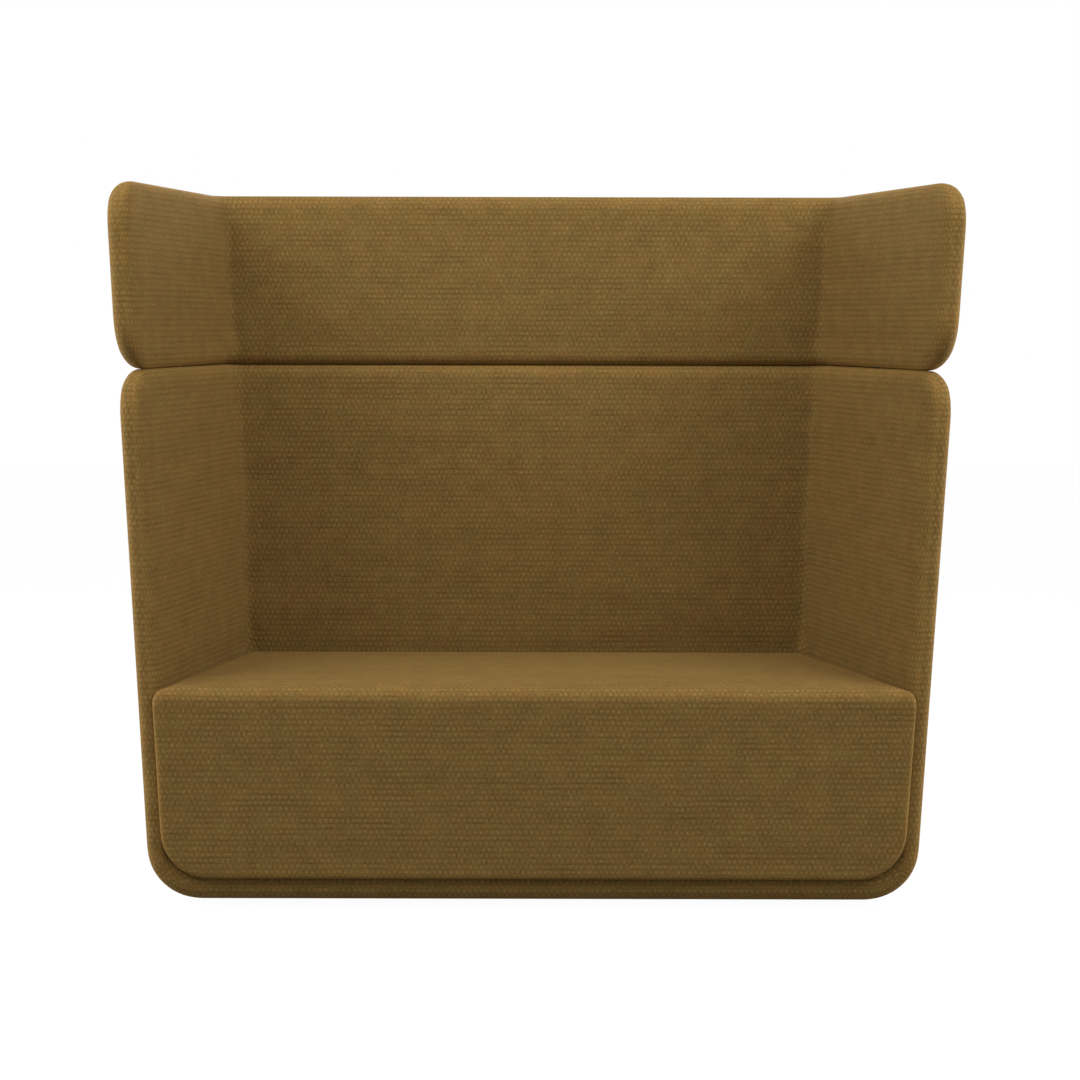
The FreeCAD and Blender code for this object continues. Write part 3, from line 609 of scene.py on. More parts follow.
def shell_grids(walls):
    """The shell: walls with a rounded rim, turned under at the bottom, and a floor behind the front rim."""
    sizes = walls.sizes
    step = sizes.mesh_step
    tip = sizes.shell_tip
    reach = tip + walls.rim_spare
    rim_back = sizes.rim_depth + walls.rim_spare
    columns = Columns(walls, [(rim_back, step), (reach, step)], step)
    (from_top, wall, arc, hem, floor), ends = shell_rows(walls, step)
    real, half, lift = walls.rim_corner(columns.from_front, from_top, tip)
    reach_real = np.minimum(real[0], tip)
    bottom = SHELL_LOW.z
    top = SHELL_HIGH.z + sizes.seam_press
    wall_top = top - tip
    backness = columns.turn ** 2 * (3 - 2 * columns.turn)
    hem_depth = sizes.side_hem + (sizes.rear_hem - sizes.side_hem) * backness
    back_line = columns.index(rim_back) + 1
    rim_line = columns.index(walls.rim_cloth) + 1
    mitre, hem_end = ends[1] + MITRE_STEPS, ends[3]
    inner_turn = sizes.rear_hem - walls.thickness + HEM_OVERLAP
    grids = []
    borders = []
    for side in (-1, 1):
        padding = walls.padding(side, columns.side)
        depth = walls.thickness / 2 + side * half * (padding + arc * (1 - padding))
        share = depth / walls.thickness
        side_turn = sizes.bottom_radius - depth
        rear_in = sizes.rear_bottom_radius + (inner_turn - sizes.rear_bottom_radius) * share
        rear_up = sizes.rear_bottom_radius * (1 - share / 2)
        turn_in = side_turn + (rear_in - side_turn) * backness
        turn_up = side_turn + (rear_up - side_turn) * backness
        wall_low = bottom + depth + turn_up
        z = top - real[1] + wall * (wall_low - wall_top) - turn_up * np.sin(arc * math.pi / 2)
        inward = depth + turn_in * (1 - np.cos(arc * math.pi / 2))
        inward = inward + hem * (hem_depth - depth - turn_in)
        points = walls.point(walls.rim_y, reach_real, columns, np.minimum(z, seam_level()), inward)
        points[..., 0] *= 1 - floor
        across = cloth_across(columns, points, ends[0] + 2, reach_real, lift[0])
        down = run_lengths(points[columns.rim_count, ends[0] - 1:])
        along = z + lift[1]
        along[:, ends[0] - 1:] = wall_top - down[None, :]
        face = (points, across, along)
        grids += grid_patch(face, slice(None), slice(mitre + 1))
        grids += grid_patch(face, slice(rim_line - 1, None), slice(mitre, hem_end))
        grids += grid_patch(face, slice(rim_line - 1, back_line), slice(hem_end - 1, None))
        grids += grid_patch(face, slice(rim_line), slice(mitre, None), turned=True)
        borders.append((points[back_line - 1:, hem_end - 1], points[back_line - 1, hem_end - 1:]))
    for outer, inner in zip(*borders):
        strip = np.stack([outer, inner], axis=1)
        run = run_lengths(outer)[:, None] * np.ones((1, 2))
        grids += both_hands(strip, run, np.ones_like(run) * np.array([[0.0, walls.thickness]]))
    return grids


class SeatOutline:
    """The seat's front outline: its grid lines, its rounded corners and the rings that run back from it."""

    def __init__(self, walls, seat):
        self.walls = walls
        self.seat = seat
        step = walls.sizes.mesh_step
        self.low = seat.lip_rise
        self.high = seat.top_height
        self.front = SEAT_LOW.y + seat.front_inset
        self.lip_back = self.front + seat.lip_depth
        corner, top = seat.lip_corner, seat.top_corner
        half = walls.side_x(self.front, self.high, seat.reveal)
        edge = seat.lip_edge
        side = chain(edge, (top, top - edge), (corner, CORNER_STEP), (half, step))
        self.from_side = np.concatenate([side, side[-2::-1]])[:, None]
        self.hand = np.concatenate([-np.ones(len(side)), np.ones(len(side) - 1)])[:, None]
        self.share = self.from_side / half
        middle = (self.high - self.low) / 2
        lower = chain(edge, (corner, CORNER_STEP), (middle, step))
        upper = chain(edge, (top, top - edge), (ROLL_REACH, ROLL_STEP), (middle, step))
        self.from_level = np.concatenate([lower, upper[-2::-1]])[None, :]
        self.above = np.concatenate([np.zeros(len(lower)), np.ones(len(upper) - 1)])[None, :]
        radius = np.where(self.above > 0, top, corner)
        across = np.maximum(radius - self.from_side, 0)
        level = np.maximum(radius - self.from_level, 0)
        size = np.hypot(across, level)
        self.most = np.maximum(across, level)
        self.across = np.where(size > 0, across / np.where(size > 0, size, 1), 0)
        self.level = np.where(size > 0, level / np.where(size > 0, size, 1), 0)
        self.radius = radius + np.zeros_like(across)

    def distances(self, inset, top_share):
        """Distances from the side and from the level edge, with the outline drawn in by an inset."""
        edge = self.seat.lip_edge
        inset = inset * (1 - (1 - top_share) * self.above * self.level ** 2)
        border = self.radius - edge
        most = np.where(self.most >= border - TINY, self.radius - inset, self.most)
        beyond_side = np.maximum(self.from_side - self.radius, 0)
        beyond_level = np.maximum(self.from_level - self.radius, 0)
        return (self.radius - self.across * most + beyond_side,
                self.radius - self.level * most + beyond_level)

    def ring(self, inset, back, top_share=1.0):
        """Points of one section, drawn in by an inset and at its top by a share of that.

        The function back gives a point's Y from its Z.
        """
        seat, walls = self.seat, self.walls
        from_side, from_level = self.distances(inset, top_share)
        z = np.where(self.above > 0, self.high - from_level, self.low + from_level)
        y = back(z)
        reach = y - walls.rim_y
        floor_face = walls.inner_depth(reach) + seat.wall_gap
        rise = np.maximum(SHELL_LOW.z + floor_face - self.low, 0)
        z = z + rise * (1 - ramp(from_level, 0.0, LOWER_FADE)) * (1 - self.above)
        y = back(z)
        tip = walls.sizes.shell_tip
        side_end = self.rear(z) - walls.sizes.inner_corner - walls.rim_y
        along_side = np.clip((reach - tip) / (side_end - tip), 0, 1)
        wall_face = walls.inner_depth(reach, walls.padding(1, along_side)) + seat.wall_gap
        half = np.minimum(walls.side_x(self.front, z, seat.reveal), walls.side_x(y, z, wall_face))
        x = self.hand * np.maximum(half - from_side * half / self.half_line(), 0)
        near_top = (1 - ramp(self.high - z, 0.0, UPPER_FADE)) * self.above
        spread = 1 - (x / half) ** 2
        run = np.clip((y - self.lip_back) / (self.rear(z) - self.lip_back), 0, 1)
        short = np.clip(seat.front_roll - (y - self.front), 0, seat.front_roll)
        roll = seat.front_roll - np.sqrt(seat.front_roll ** 2 - short ** 2)
        bulge = seat.crown * spread * 4 * run * (1 - run)
        z = z + near_top * (bulge + seat.rear_rise * ramp(run, 0.0, 1.0) - roll)
        return np.stack(np.broadcast_arrays(x, y, z), axis=-1)

    def half_line(self):
        return self.walls.side_x(self.front, self.high, self.seat.reveal)

    def rear(self, z):
        return self.walls.back_y(z, self.walls.thickness + self.seat.wall_gap)


def seat_rings(outline):
    """The seat's sections from its front face to its rear face."""
    seat, sizes = outline.seat, outline.walls.sizes
    front, edge = outline.front, seat.lip_edge
    rings = []
    for turn in np.linspace(math.pi / 2, 0, EDGE_LINES):
        place = front + edge * (1 - math.sin(turn))
        rings.append(outline.ring(edge * (1 - math.cos(turn)), lambda z, place=place: place + 0 * z, 0.0))
    rim = outline.walls.rim_y
    rim_end = rim + sizes.edge_radius
    places = chain(front + edge, (rim - RIM_CLEARANCE, LIP_STEP), (rim + RIM_CLEARANCE, CLEARANCE_STEP),
                   (rim_end, RIM_TURN_STEP))
    for place in places[1:]:
        rings.append(outline.ring(0.0, lambda z, place=place: place + 0 * z))
    count = round(sizes.seat_depth / sizes.mesh_step)
    for share in np.linspace(0, 1, count)[1:]:
        rings.append(outline.ring(
            0.0, lambda z, share=share: rim_end + (outline.rear(z) - seat.rear_edge - rim_end) * share))
    for turn in np.linspace(0, math.pi / 2, EDGE_LINES)[1:]:
        place = seat.rear_edge * (1 - math.sin(turn))
        rings.append(outline.ring(seat.rear_edge * (1 - math.cos(turn)),
                                  lambda z, place=place: outline.rear(z) - place))
    return rings


def seat_grids(walls, seat):
    """The seat: front face, rear face and the four strips between them."""
    outline = SeatOutline(walls, seat)
    rings = seat_rings(outline)
    first, last = rings[0], rings[-1]
    grids = [(face, face[..., (0, 2)]) for face in (first, last)]
    stack = np.stack(rings)
    middle = stack.shape[1] // 2
    back = run_lengths(stack[:, middle, -1])[:, None]
    for row, sign in ((-1, 1.0), (0, -1.0)):
        strip = stack[:, :, row]
        grids.append((strip, np.stack([strip[..., 0], first[:, row, 2][None, :] + sign * back], axis=-1)))
    for column, sign in ((-1, 1.0), (0, -1.0)):
        strip = stack[:, column]
        across = first[column, :, 0][None, :] + sign * back
        grids.append((strip, np.stack([across, strip[..., 2]], axis=-1)))
    return grids


class Value:
    """A shader socket that takes part in Python expressions."""

    def __init__(self, finish, socket):
        self.finish = finish
        self.socket = socket

    def maths(self, operation, *others):
        return self.finish.add("ShaderNodeMath", {"operation": operation}, dict(enumerate((self,) + others)))

    def __add__(self, other):
        return self.maths("ADD", other)

    def __mul__(self, other):
        return self.maths("MULTIPLY", other)

    def __sub__(self, other):
        return self.maths("SUBTRACT", other)

    def __rsub__(self, other):
        return self.finish.add("ShaderNodeMath", {"operation": "SUBTRACT"}, {0: other, 1: self})

    def __truediv__(self, other):
        return self.maths("DIVIDE", other)

    __radd__ = __add__
    __rmul__ = __mul__

    def floor(self):
        return self.maths("FLOOR")

    def fraction(self):
        return self.maths("FRACT")

    def size(self):
        return self.maths("ABSOLUTE")

    def between(self, low, high):
        """0 below low and 1 above high, smooth between them."""
        settings = {"interpolation_type": "SMOOTHSTEP"}
        limits = {"Value": self, "From Min": low, "From Max": high}
        return self.finish.add("ShaderNodeMapRange", settings, limits)


class Nodes:
    """A tree of shader nodes."""

    def __init__(self, tree):
        self.tree = tree

    def add(self, kind, settings=None, inputs=None, output=0):
        """Adds a node of a kind, with its settings and with values or links for its sockets."""
        node = self.tree.nodes.new(kind)
        for name, value in (settings or {}).items():
            setattr(node, name, value)
        for name, value in (inputs or {}).items():
            self.feed(node.inputs[name], value)
        return Value(self, node.outputs[output])

    def feed(self, socket, value):
        if isinstance(value, Value):
            self.tree.links.new(value.socket, socket)
        elif isinstance(value, (int, float)):
            socket.default_value = value
        else:
            socket.default_value = (*value, 1.0) if len(socket.default_value) == 4 else tuple(value)

    def mix(self, factor, first, second, blend="MIX"):
        settings = {"data_type": "RGBA", "blend_type": blend}
        return self.add("ShaderNodeMix", settings, {0: factor, 6: first, 7: second}, output=2)

    def noise(self, where, scale, detail=2.0):
        return self.add("ShaderNodeTexNoise", inputs={"Vector": where, "Scale": scale, "Detail": detail})

    def stretched_noise(self, first, second, first_scale, second_scale, layer, detail):
        """Noise with its own scale along each of two coordinates, in a layer of its own."""
        return self.noise(self.join(first * first_scale, second * second_scale, layer), 1.0, detail)

    def objects(self):
        return self.add("ShaderNodeTexCoord", output="Object")

    def split(self, vector):
        return [self.add("ShaderNodeSeparateXYZ", inputs={0: vector}, output=axis) for axis in range(3)]

    def join(self, x, y, z):
        return self.add("ShaderNodeCombineXYZ", inputs={0: x, 1: y, 2: z})

    def in_view(self):
        """1 for what the camera sees, also in a reflection or through glass."""
        camera, glossy, through = [self.add("ShaderNodeLightPath", output="Is %s Ray" % ray)
                                   for ray in ("Camera", "Glossy", "Transmission")]
        return camera + glossy + through

    def close(self, output, share, first, second):
        """Ends the tree in a mix of two shaders."""
        mixed = self.add("ShaderNodeMixShader", inputs={0: share, 1: first, 2: second})
        self.feed(self.tree.nodes[output].inputs["Surface"], mixed)


class Finish(Nodes):
    """A material and its nodes."""

    def __init__(self, name, **constants):
        self.material = bpy.data.materials.new(name)
        self.material.use_nodes = True
        super().__init__(self.material.node_tree)
        self.shader = self.tree.nodes["Principled BSDF"]
        for socket, value in constants.items():
            self.shader.inputs[socket.replace("_", " ")].default_value = value

    def surface(self, colour=None, roughness=None, height=None, depth=0.001):
        if colour is not None:
            self.feed(self.shader.inputs["Base Color"], colour)
        if roughness is not None:
            self.feed(self.shader.inputs["Roughness"], roughness)
        if height is not None:
            bump = self.add("ShaderNodeBump", inputs={"Height": height, "Distance": depth, "Strength": 1.0})
            self.feed(self.shader.inputs["Normal"], bump)
        return self.material


def scaled(tint, share):
    """A colour made darker or lighter by a share."""
    return tuple(share * part for part in tint)


def cloth_material(cloth):
    """Ribbed cloth: staggered rows of raised stitches between broken grooves, with slubs and patches, and a
    painted highlight on convex edges.
    """
    finish = Finish("ribbed_cloth", Specular_IOR_Level=0.18, Sheen_Weight=0.22, Sheen_Roughness=0.4,
                    Sheen_Tint=(*cloth.sheen, 1.0))
    place = finish.add("ShaderNodeUVMap", {"uv_map": UV_NAME})
    across, along, _ = finish.split(place)
    # Mask of the painted highlight on convex edges
    edge = finish.add("ShaderNodeAttribute", {"attribute_name": HIGHLIGHT_MASK_NAME}, output="Fac")
    row = along / cloth.rib + (finish.noise(place, *WANDER) - 0.5) * ROW_WANDER
    row_number = row.floor()
    in_row = (row.fraction() - 0.5).size() * 2
    drift = finish.stretched_noise(across, along, *DRIFT)
    column = across / cloth.tick + row_number * 0.5 + drift * COLUMN_DRIFT
    in_column = (column.fraction() - 0.5).size() * 2
    cell = finish.join(column.floor(), row_number, 0.0)
    chances = finish.add("ShaderNodeTexWhiteNoise", {"noise_dimensions": "2D"}, {"Vector": cell}, "Color")
    light_chance, level_chance, upright_chance = finish.split(chances)
    streak = finish.stretched_noise(across, row_number, *STREAK).between(0.45, 0.7)
    always, by_chance, in_streaks = LEVEL_GROOVE
    level_groove = in_row.between(0.3, 1.0) * (always + level_chance * by_chance + streak * in_streaks)
    always, by_chance = UPRIGHT_GROOVE
    upright_groove = in_column.between(0.35, 1.0) * (always + upright_chance * by_chance)
    groove = level_groove.maths("MAXIMUM", upright_groove)
    stitch = (1 - in_column.between(0.0, 1.0)) * (1 - in_row.between(0.0, 1.0))
    slub = finish.stretched_noise(across, along, *SLUB)
    mottle, patch, grain, fuzz = [finish.noise(place, *kind) for kind in (MOTTLE, PATCH, GRAIN, FUZZ)]
    base = finish.mix(patch.between(0.3, 0.7), cloth.russet, cloth.olive)
    base = finish.mix(OCHRE_SHARE, base, cloth.ochre)
    always, by_chance = STITCH_LIGHT
    base = finish.mix(stitch * (always + light_chance * by_chance), base, cloth.tick_light)
    base = finish.mix(groove, base, cloth.groove)
    shade = SHADE["even"] + fuzz * SHADE["fuzz"] + grain * SHADE["grain"]
    shade = shade + slub * SHADE["slub"] + mottle * SHADE["mottle"]
    # Painted highlight: the shade is raised on convex edges
    red, green, blue = [shade * (1 + edge * gain) for gain in cloth.painted_edge_highlight]
    base = finish.mix(1.0, base, finish.join(red, green, blue), "MULTIPLY")
    height = stitch * HEIGHT["stitch"] + (1 - groove) * HEIGHT["ridge"]
    height = height + grain * HEIGHT["grain"] + fuzz * HEIGHT["fuzz"]
    return finish.surface(base, 0.84 + fuzz * 0.14, height, cloth.relief)


def plywood_material(colours):
    """Plywood with long grain and short dark pores."""
    finish = Finish("plywood", Specular_IOR_Level=0.35)
    place = finish.objects()
    stretched = finish.add("ShaderNodeMapping", inputs={"Vector": place, "Scale": (3.0, 3.0, 26.0)})
    grain = finish.noise(stretched, 7.0, 6.0)
    pores = finish.noise(stretched, 60.0, 3.0)
    base = finish.mix(grain.between(0.35, 0.68), colours.plywood, scaled(colours.plywood, 0.62))
    base = finish.mix(pores.between(0.62, 0.75) * 0.4, base, scaled(colours.plywood, 0.4))
    return finish.surface(base, 0.55 + grain * 0.2, grain + pores * 0.4, 0.0004)


def webbing_material(colours):
    """Woven elastic with pale stripes."""
    finish = Finish("webbing", Specular_IOR_Level=0.3)
    place = finish.objects()
    weave = finish.add("ShaderNodeTexWave", {"wave_type": "BANDS", "bands_direction": "DIAGONAL"},
                       {"Vector": place, "Scale": 260.0, "Distortion": 0.4})
    stripe = finish.add("ShaderNodeTexWave", {"wave_type": "BANDS", "bands_direction": "Z"},
                        {"Vector": place, "Scale": 22.0})
    base = finish.mix(stripe.between(0.8, 0.95) * 0.8, colours.webbing, colours.webbing_stripe)
    base = finish.mix(weave * 0.3, base, (0.0, 0.0, 0.0))
    return finish.surface(base, 0.75 + weave * 0.15, weave, 0.0005)


def dust_cloth_material(colours):
    """Thin felted cloth with bonded points."""
    finish = Finish("dust_cloth", Specular_IOR_Level=0.2)
    place = finish.objects()
    fibres = finish.noise(place, 420.0, 5.0)
    points = finish.add("ShaderNodeTexVoronoi", {"feature": "F1"}, {"Vector": place, "Scale": 480.0})
    base = finish.mix(fibres.between(0.4, 0.7), colours.dust_cloth, scaled(colours.dust_cloth, 2.6))
    return finish.surface(base, 0.85 + fibres * 0.1, points * 0.6 + fibres * 0.4, 0.0003)


def plastic_material(colours):
    """Moulded plastic with paler scuffs."""
    finish = Finish("glide_plastic")
    place = finish.objects()
    grain = finish.noise(place, 900.0, 2.0)
    scuff = finish.noise(place, 55.0, 4.0).between(0.55, 0.75)
    base = finish.mix(scuff * 0.5, colours.plastic, scaled(colours.plastic, 2.2))
    return finish.surface(base, 0.42 + scuff * 0.2, grain, 0.0001)


def steel_material(name, tint, metallic, rough):
    """Coated steel, a little cloudy."""
    finish = Finish(name, Metallic=metallic)
    place = finish.objects()
    cloud = finish.noise(place, 32.0, 4.0)
    grain = finish.noise(place, 700.0, 2.0)
    base = finish.mix(cloud.between(0.35, 0.7) * 0.5, tint, scaled(tint, 0.72))
    return finish.surface(base, rough + cloud * 0.15, grain, 0.00008)


def staple_tree(material):
    """Staples set along a line: each one a bent wire, lying along the line."""
    tree = bpy.data.node_groups.new("hem_staples", "GeometryNodeTree")
    face = tree.interface
    face.new_socket("Geometry", in_out="INPUT", socket_type="NodeSocketGeometry")
    for name, default in STAPLE.items():
        face.new_socket(name, in_out="INPUT", socket_type="NodeSocketFloat").default_value = default
    face.new_socket("Geometry", in_out="OUTPUT", socket_type="NodeSocketGeometry")
    nodes = Nodes(tree)
    source = tree.nodes.new("NodeGroupInput")
    line, spacing, width, radius = [Value(nodes, source.outputs[name]) for name in ("Geometry", *STAPLE)]
    curve = nodes.add("GeometryNodeMeshToCurve", inputs={"Mesh": line})
    points = nodes.add("GeometryNodeCurveToPoints", {"mode": "LENGTH"}, {"Curve": curve, "Length": spacing})
    tangent = Value(nodes, points.socket.node.outputs["Tangent"])
    turn = nodes.add("FunctionNodeAlignEulerToVector", {"axis": "X"}, {"Vector": tangent})
    crown = nodes.add("GeometryNodeCurvePrimitiveQuadrilateral",
                      inputs={"Width": width, "Height": STAPLE_HEIGHT})
    bent = nodes.add("GeometryNodeFilletCurve", {"mode": "POLY"}, {"Curve": crown, "Radius": STAPLE_BEND})
    wire = nodes.add("GeometryNodeCurvePrimitiveCircle", inputs={"Resolution": WIRE_SIDES, "Radius": radius})
    staple = nodes.add("GeometryNodeCurveToMesh", inputs={"Curve": bent, "Profile Curve": wire})
    spread = nodes.add("GeometryNodeInstanceOnPoints",
                       inputs={"Points": points, "Instance": staple, "Rotation": turn})
    real = nodes.add("GeometryNodeRealizeInstances", inputs={"Geometry": spread})
    painted = nodes.add("GeometryNodeSetMaterial", inputs={"Geometry": real})
    painted.socket.node.inputs["Material"].default_value = material
    nodes.feed(tree.nodes.new("NodeGroupOutput").inputs["Geometry"], painted)
    return tree


MADE = {}


def material_for(scene, slot):
    """The material of a slot, made when it is first asked for."""
    colours = scene.sofa_finishes
    makers = {
        "upholstery": lambda: cloth_material(scene.sofa_cloth),
        "plywood": lambda: plywood_material(colours),
        "webbing": lambda: webbing_material(colours),
        "dust_cloth": lambda: dust_cloth_material(colours),
        "glide_plastic": lambda: plastic_material(colours),
        "black_steel": lambda: steel_material("black_steel", colours.black_steel, 0.6, 0.45),
        "zinc_steel": lambda: steel_material("zinc_steel", colours.zinc, 1.0, 0.32),
    }
    if slot not in MADE:
        MADE[slot] = makers[slot]()
    return MADE[slot]


def shell_softness(walls, x, y, z):
    """1 where the shell's cloth may settle, 0 at its rims, at its hems and where the seat hides it."""
    hidden = (x < walls.side_x(y, z, SEAT_ROOM_DEPTH)) & (y < walls.back_y(z, SEAT_ROOM_DEPTH))
    hidden = hidden & (z < SEAT_ROOM_TOP)
    low, high = [SHELL_HIGH.z - distance for distance in SHELL_TOP_FADE]
    soft = ramp(z, *HEM_LEVELS) * (1 - ramp(z, low, high))
    return np.where(hidden, 0.0, soft * ramp(y, walls.rim_y, walls.rim_y + FRONT_FADE))


def collar_softness(y, z):
    """1 where the collar's cloth may settle, 0 at its rims."""
    low, high = [COLLAR_LOW.z + distance for distance in COLLAR_LOW_FADE]
    soft = ramp(z, low, high)
    low, high = [COLLAR_HIGH.z - distance for distance in COLLAR_TOP_FADE]
    soft = soft * (1 - ramp(z, low, high))
    return soft * ramp(y, COLLAR_LOW.y, COLLAR_LOW.y + FRONT_FADE)


def seat_softness(walls, x, y, z):
    """1 on the middle of the seat's top, 0 at its edges and below."""
    soft = ramp(z, *SEAT_TOP_LEVELS) * ramp(y, SEAT_LOW.y, SEAT_LOW.y + SEAT_FRONT_FADE)
    near, far = [walls.back_y(z, depth) for depth in SEAT_REAR_DEPTHS]
    soft = soft * (1 - ramp(y, near, far))
    near, far = [walls.side_x(y, z, depth) for depth in SEAT_SIDE_DEPTHS]
    return soft * (1 - ramp(x, near, far))


class SOFA_OT_shell(bpy.types.Operator):
    """Make the padded shell: sides, back and the front rim under the seat"""
    bl_idname = "sofa.shell"
    bl_label = "Shell upholstery"

    def execute(self, context):
        walls = Walls(context.scene.sofa_walls)
        nodes = ["shell_cover"] + ["shell_%s_foam" % part for part in ("left", "right", "back", "rim")]
        make_padded("shell_upholstery", shell_grids(walls),
                    lambda x, y, z: shell_softness(walls, x, y, z), nodes)
        return {"FINISHED"}


class SOFA_OT_collar(bpy.types.Operator):
    """Make the padded collar with its two wings"""
    bl_idname = "sofa.collar"
    bl_label = "Collar upholstery"

    def execute(self, context):
        sizes = context.scene.sofa_walls
        walls = Walls(sizes, sizes.collar_splay, sizes.collar_ease)
        nodes = ["collar_cover"] + ["collar_%s_foam" % part for part in ("left", "right", "back")]
        make_padded("collar_upholstery", collar_grids(walls),
                    lambda x, y, z: collar_softness(y, z), nodes)
        return {"FINISHED"}


class SOFA_OT_seat(bpy.types.Operator):
    """Make the padded seat block with its rounded front"""
    bl_idname = "sofa.seat"
    bl_label = "Seat upholstery"

    def execute(self, context):
        walls = Walls(context.scene.sofa_walls)
        nodes = ["seat_cover", "seat_foam", "seat_front_foam"]
        make_padded("seat_upholstery", seat_grids(walls, context.scene.sofa_seat),
                    lambda x, y, z: seat_softness(walls, x, y, z), nodes)
        return {"FINISHED"}


class SOFA_OT_finishes(bpy.types.Operator):
    """Give boards, belts, steel, glides and dust cover their finishes"""
    bl_idname = "sofa.finishes"
    bl_label = "Frame finishes"

    def execute(self, context):
        scene = context.scene
        slots = {part["node"]: part["material_slot"] for part in frame["record"]["subparts"]}
        for name, node in frame["nodes"].items():
            if node.hide_render:
                continue
            node.data.materials.clear()
            node.data.materials.append(material_for(scene, slots[name]))
        return {"FINISHED"}


class SOFA_OT_staples(bpy.types.Operator):
    """Staple the dust cover's edge"""
    bl_idname = "sofa.staples"
    bl_label = "Dust cover and staples"

    def execute(self, context):
        scene = context.scene
        sizes = scene.sofa_walls
        walls = Walls(sizes)
        level = DUST_LOW.z - STAPLE_DROP
        front = DUST_LOW.y + STAPLE_INSET
        rear = walls.back_y(level, sizes.rear_hem) - STAPLE_INSET
        wide, narrow = [walls.side_x(y, level, sizes.side_hem + STAPLE_INSET) for y in (front, rear)]
        corners = [(-wide, front, level), (wide, front, level), (narrow, rear, level), (-narrow, rear, level)]
        line = bpy.data.meshes.new("dust_cover_staples")
        line.from_pydata(corners, [(0, 1), (1, 2), (2, 3), (3, 0)], [])
        piece = bpy.data.objects.new("dust_cover_staples", line)
        scene.collection.objects.link(piece)
        tree = staple_tree(material_for(scene, "zinc_steel"))
        modifier = piece.modifiers.new("Staples", "NODES")
        modifier.node_group = tree
        names = {item.name: item.identifier for item in tree.interface.items_tree if item.in_out == "INPUT"}
        for name, size in STAPLE.items():
            modifier[names[name]] = size
        evaluated = piece.evaluated_get(context.evaluated_depsgraph_get())
        mesh = bpy.data.meshes.new_from_object(evaluated)
        piece.modifiers.remove(modifier)
        piece.data = mesh
        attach(piece, BODY)
        size = DUST_HIGH - DUST_LOW
        return {"FINISHED"}


def studio_floor(stage):
    """A wide floor that the camera sees as white, with a little of its own shading left."""
    mesh = bpy.data.meshes.new("studio_floor")
    corners = [(x * FLOOR_REACH, y * FLOOR_REACH, 0) for x, y in ((-1, -1), (1, -1), (1, 1), (-1, 1))]
    mesh.from_pydata(corners, [], [(0, 1, 2, 3)])
    floor = bpy.data.objects.new("studio_floor", mesh)
    bpy.context.scene.collection.objects.link(floor)
    finish = Finish("studio_floor", Base_Color=(*stage.floor, 1.0), Roughness=0.9)
    share = stage.shadow_share
    fill = (1 - share * stage.floor_light) / (1 - share)
    white = finish.add("ShaderNodeEmission", inputs={"Color": (1.0, 1.0, 1.0), "Strength": fill})
    own = Value(finish, finish.shader.outputs[0])
    finish.close("Material Output", finish.in_view() * (1 - share), own, white)
    mesh.materials.append(finish.material)


def studio_world(stage):
    """Even light all round, seen by the camera as white."""
    world = bpy.data.worlds.new("studio")
    bpy.context.scene.world = world
    world.use_nodes = True
    nodes = Nodes(world.node_tree)
    light, white = [
        nodes.add("ShaderNodeBackground", inputs={"Color": (1.0, 1.0, 1.0), "Strength": strength})
        for strength in (stage.sky, 1.0)]
    nodes.close("World Output", nodes.in_view(), light, white)


def soft_lamp(name, power, size, place, target):
    """A wide lamp at a place, turned to its target."""
    data = bpy.data.lights.new(name, "AREA")
    data.energy = power
    data.shape = "RECTANGLE"
    data.size, data.size_y = size
    lamp = bpy.data.objects.new(name, data)
    lamp.location = place
    lamp.rotation_euler = (Vector(target) - Vector(place)).to_track_quat("-Z", "Y").to_euler()
    bpy.context.scene.collection.objects.link(lamp)


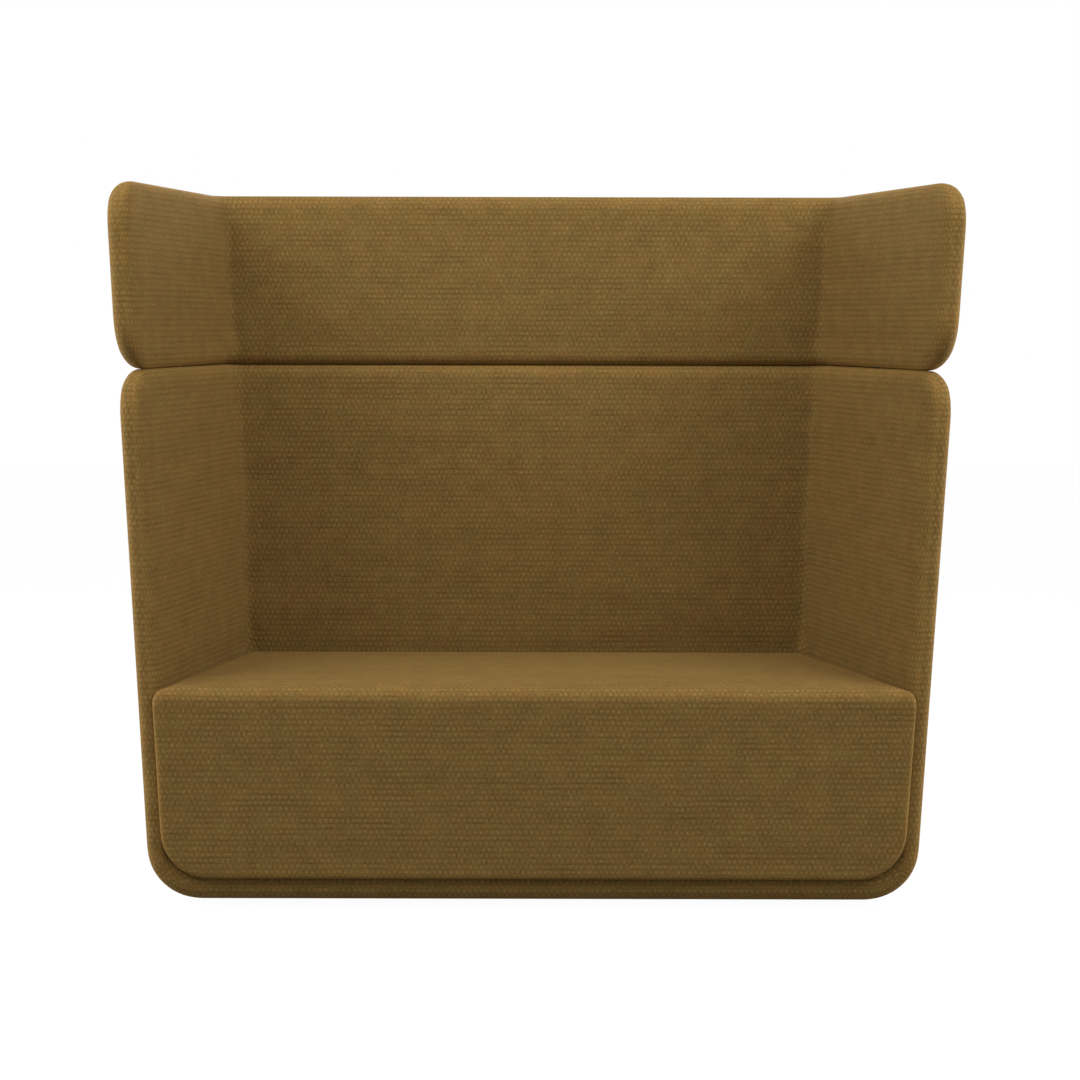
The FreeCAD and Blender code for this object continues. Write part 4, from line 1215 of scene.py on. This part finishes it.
class SOFA_OT_stage(bpy.types.Operator):
    """Set up the floor, the studio light and the camera"""
    bl_idname = "sofa.stage"
    bl_label = "Studio"

    def execute(self, context):
        scene = context.scene
        stage = scene.sofa_stage
        scene.view_settings.view_transform = "Standard"
        studio_floor(stage)
        studio_world(stage)
        for name, power, size, place, target in LAMPS:
            soft_lamp(name, getattr(stage, power), size, place, target)
        data = bpy.data.cameras.new("camera")
        data.lens = stage.lens
        data.shift_x = stage.shift_x
        camera = bpy.data.objects.new("camera", data)
        camera.location = (stage.camera_x, stage.camera_y, stage.camera_z)
        camera.rotation_euler = (math.pi / 2 - stage.camera_pitch, stage.camera_roll, 0.0)
        scene.collection.objects.link(camera)
        scene.camera = camera
        return {"FINISHED"}


OPERATORS = (SOFA_OT_shell, SOFA_OT_collar, SOFA_OT_seat, SOFA_OT_finishes, SOFA_OT_staples, SOFA_OT_stage)
GROUPS = {"sofa_walls": SofaWalls, "sofa_seat": SofaSeat, "sofa_cloth": SofaCloth,
          "sofa_finishes": SofaFinishes, "sofa_stage": SofaStage}


class SOFA_PT_panel(bpy.types.Panel):
    """Lists the sofa's pieces"""
    bl_idname = "SOFA_PT_panel"
    bl_label = "Sofa"
    bl_space_type = "VIEW_3D"
    bl_region_type = "UI"
    bl_category = "Sofa"

    def draw(self, context):
        for operator in OPERATORS:
            self.layout.operator(operator.bl_idname)


def register():
    for group in GROUPS.values():
        bpy.utils.register_class(group)
    for name, group in GROUPS.items():
        setattr(bpy.types.Scene, name, PointerProperty(type=group))
    for operator in OPERATORS:
        bpy.utils.register_class(operator)
    bpy.utils.register_class(SOFA_PT_panel)


def unregister():
    bpy.utils.unregister_class(SOFA_PT_panel)
    for operator in OPERATORS[::-1]:
        bpy.utils.unregister_class(operator)
    for name, group in GROUPS.items():
        delattr(bpy.types.Scene, name)
        bpy.utils.unregister_class(group)


def main():
    register()
    bpy.ops.sofa.shell()
    bpy.ops.sofa.collar()
    bpy.ops.sofa.seat()
    bpy.ops.sofa.finishes()
    bpy.ops.sofa.staples()
    bpy.ops.sofa.stage()


if __name__ == "__main__":
    main()
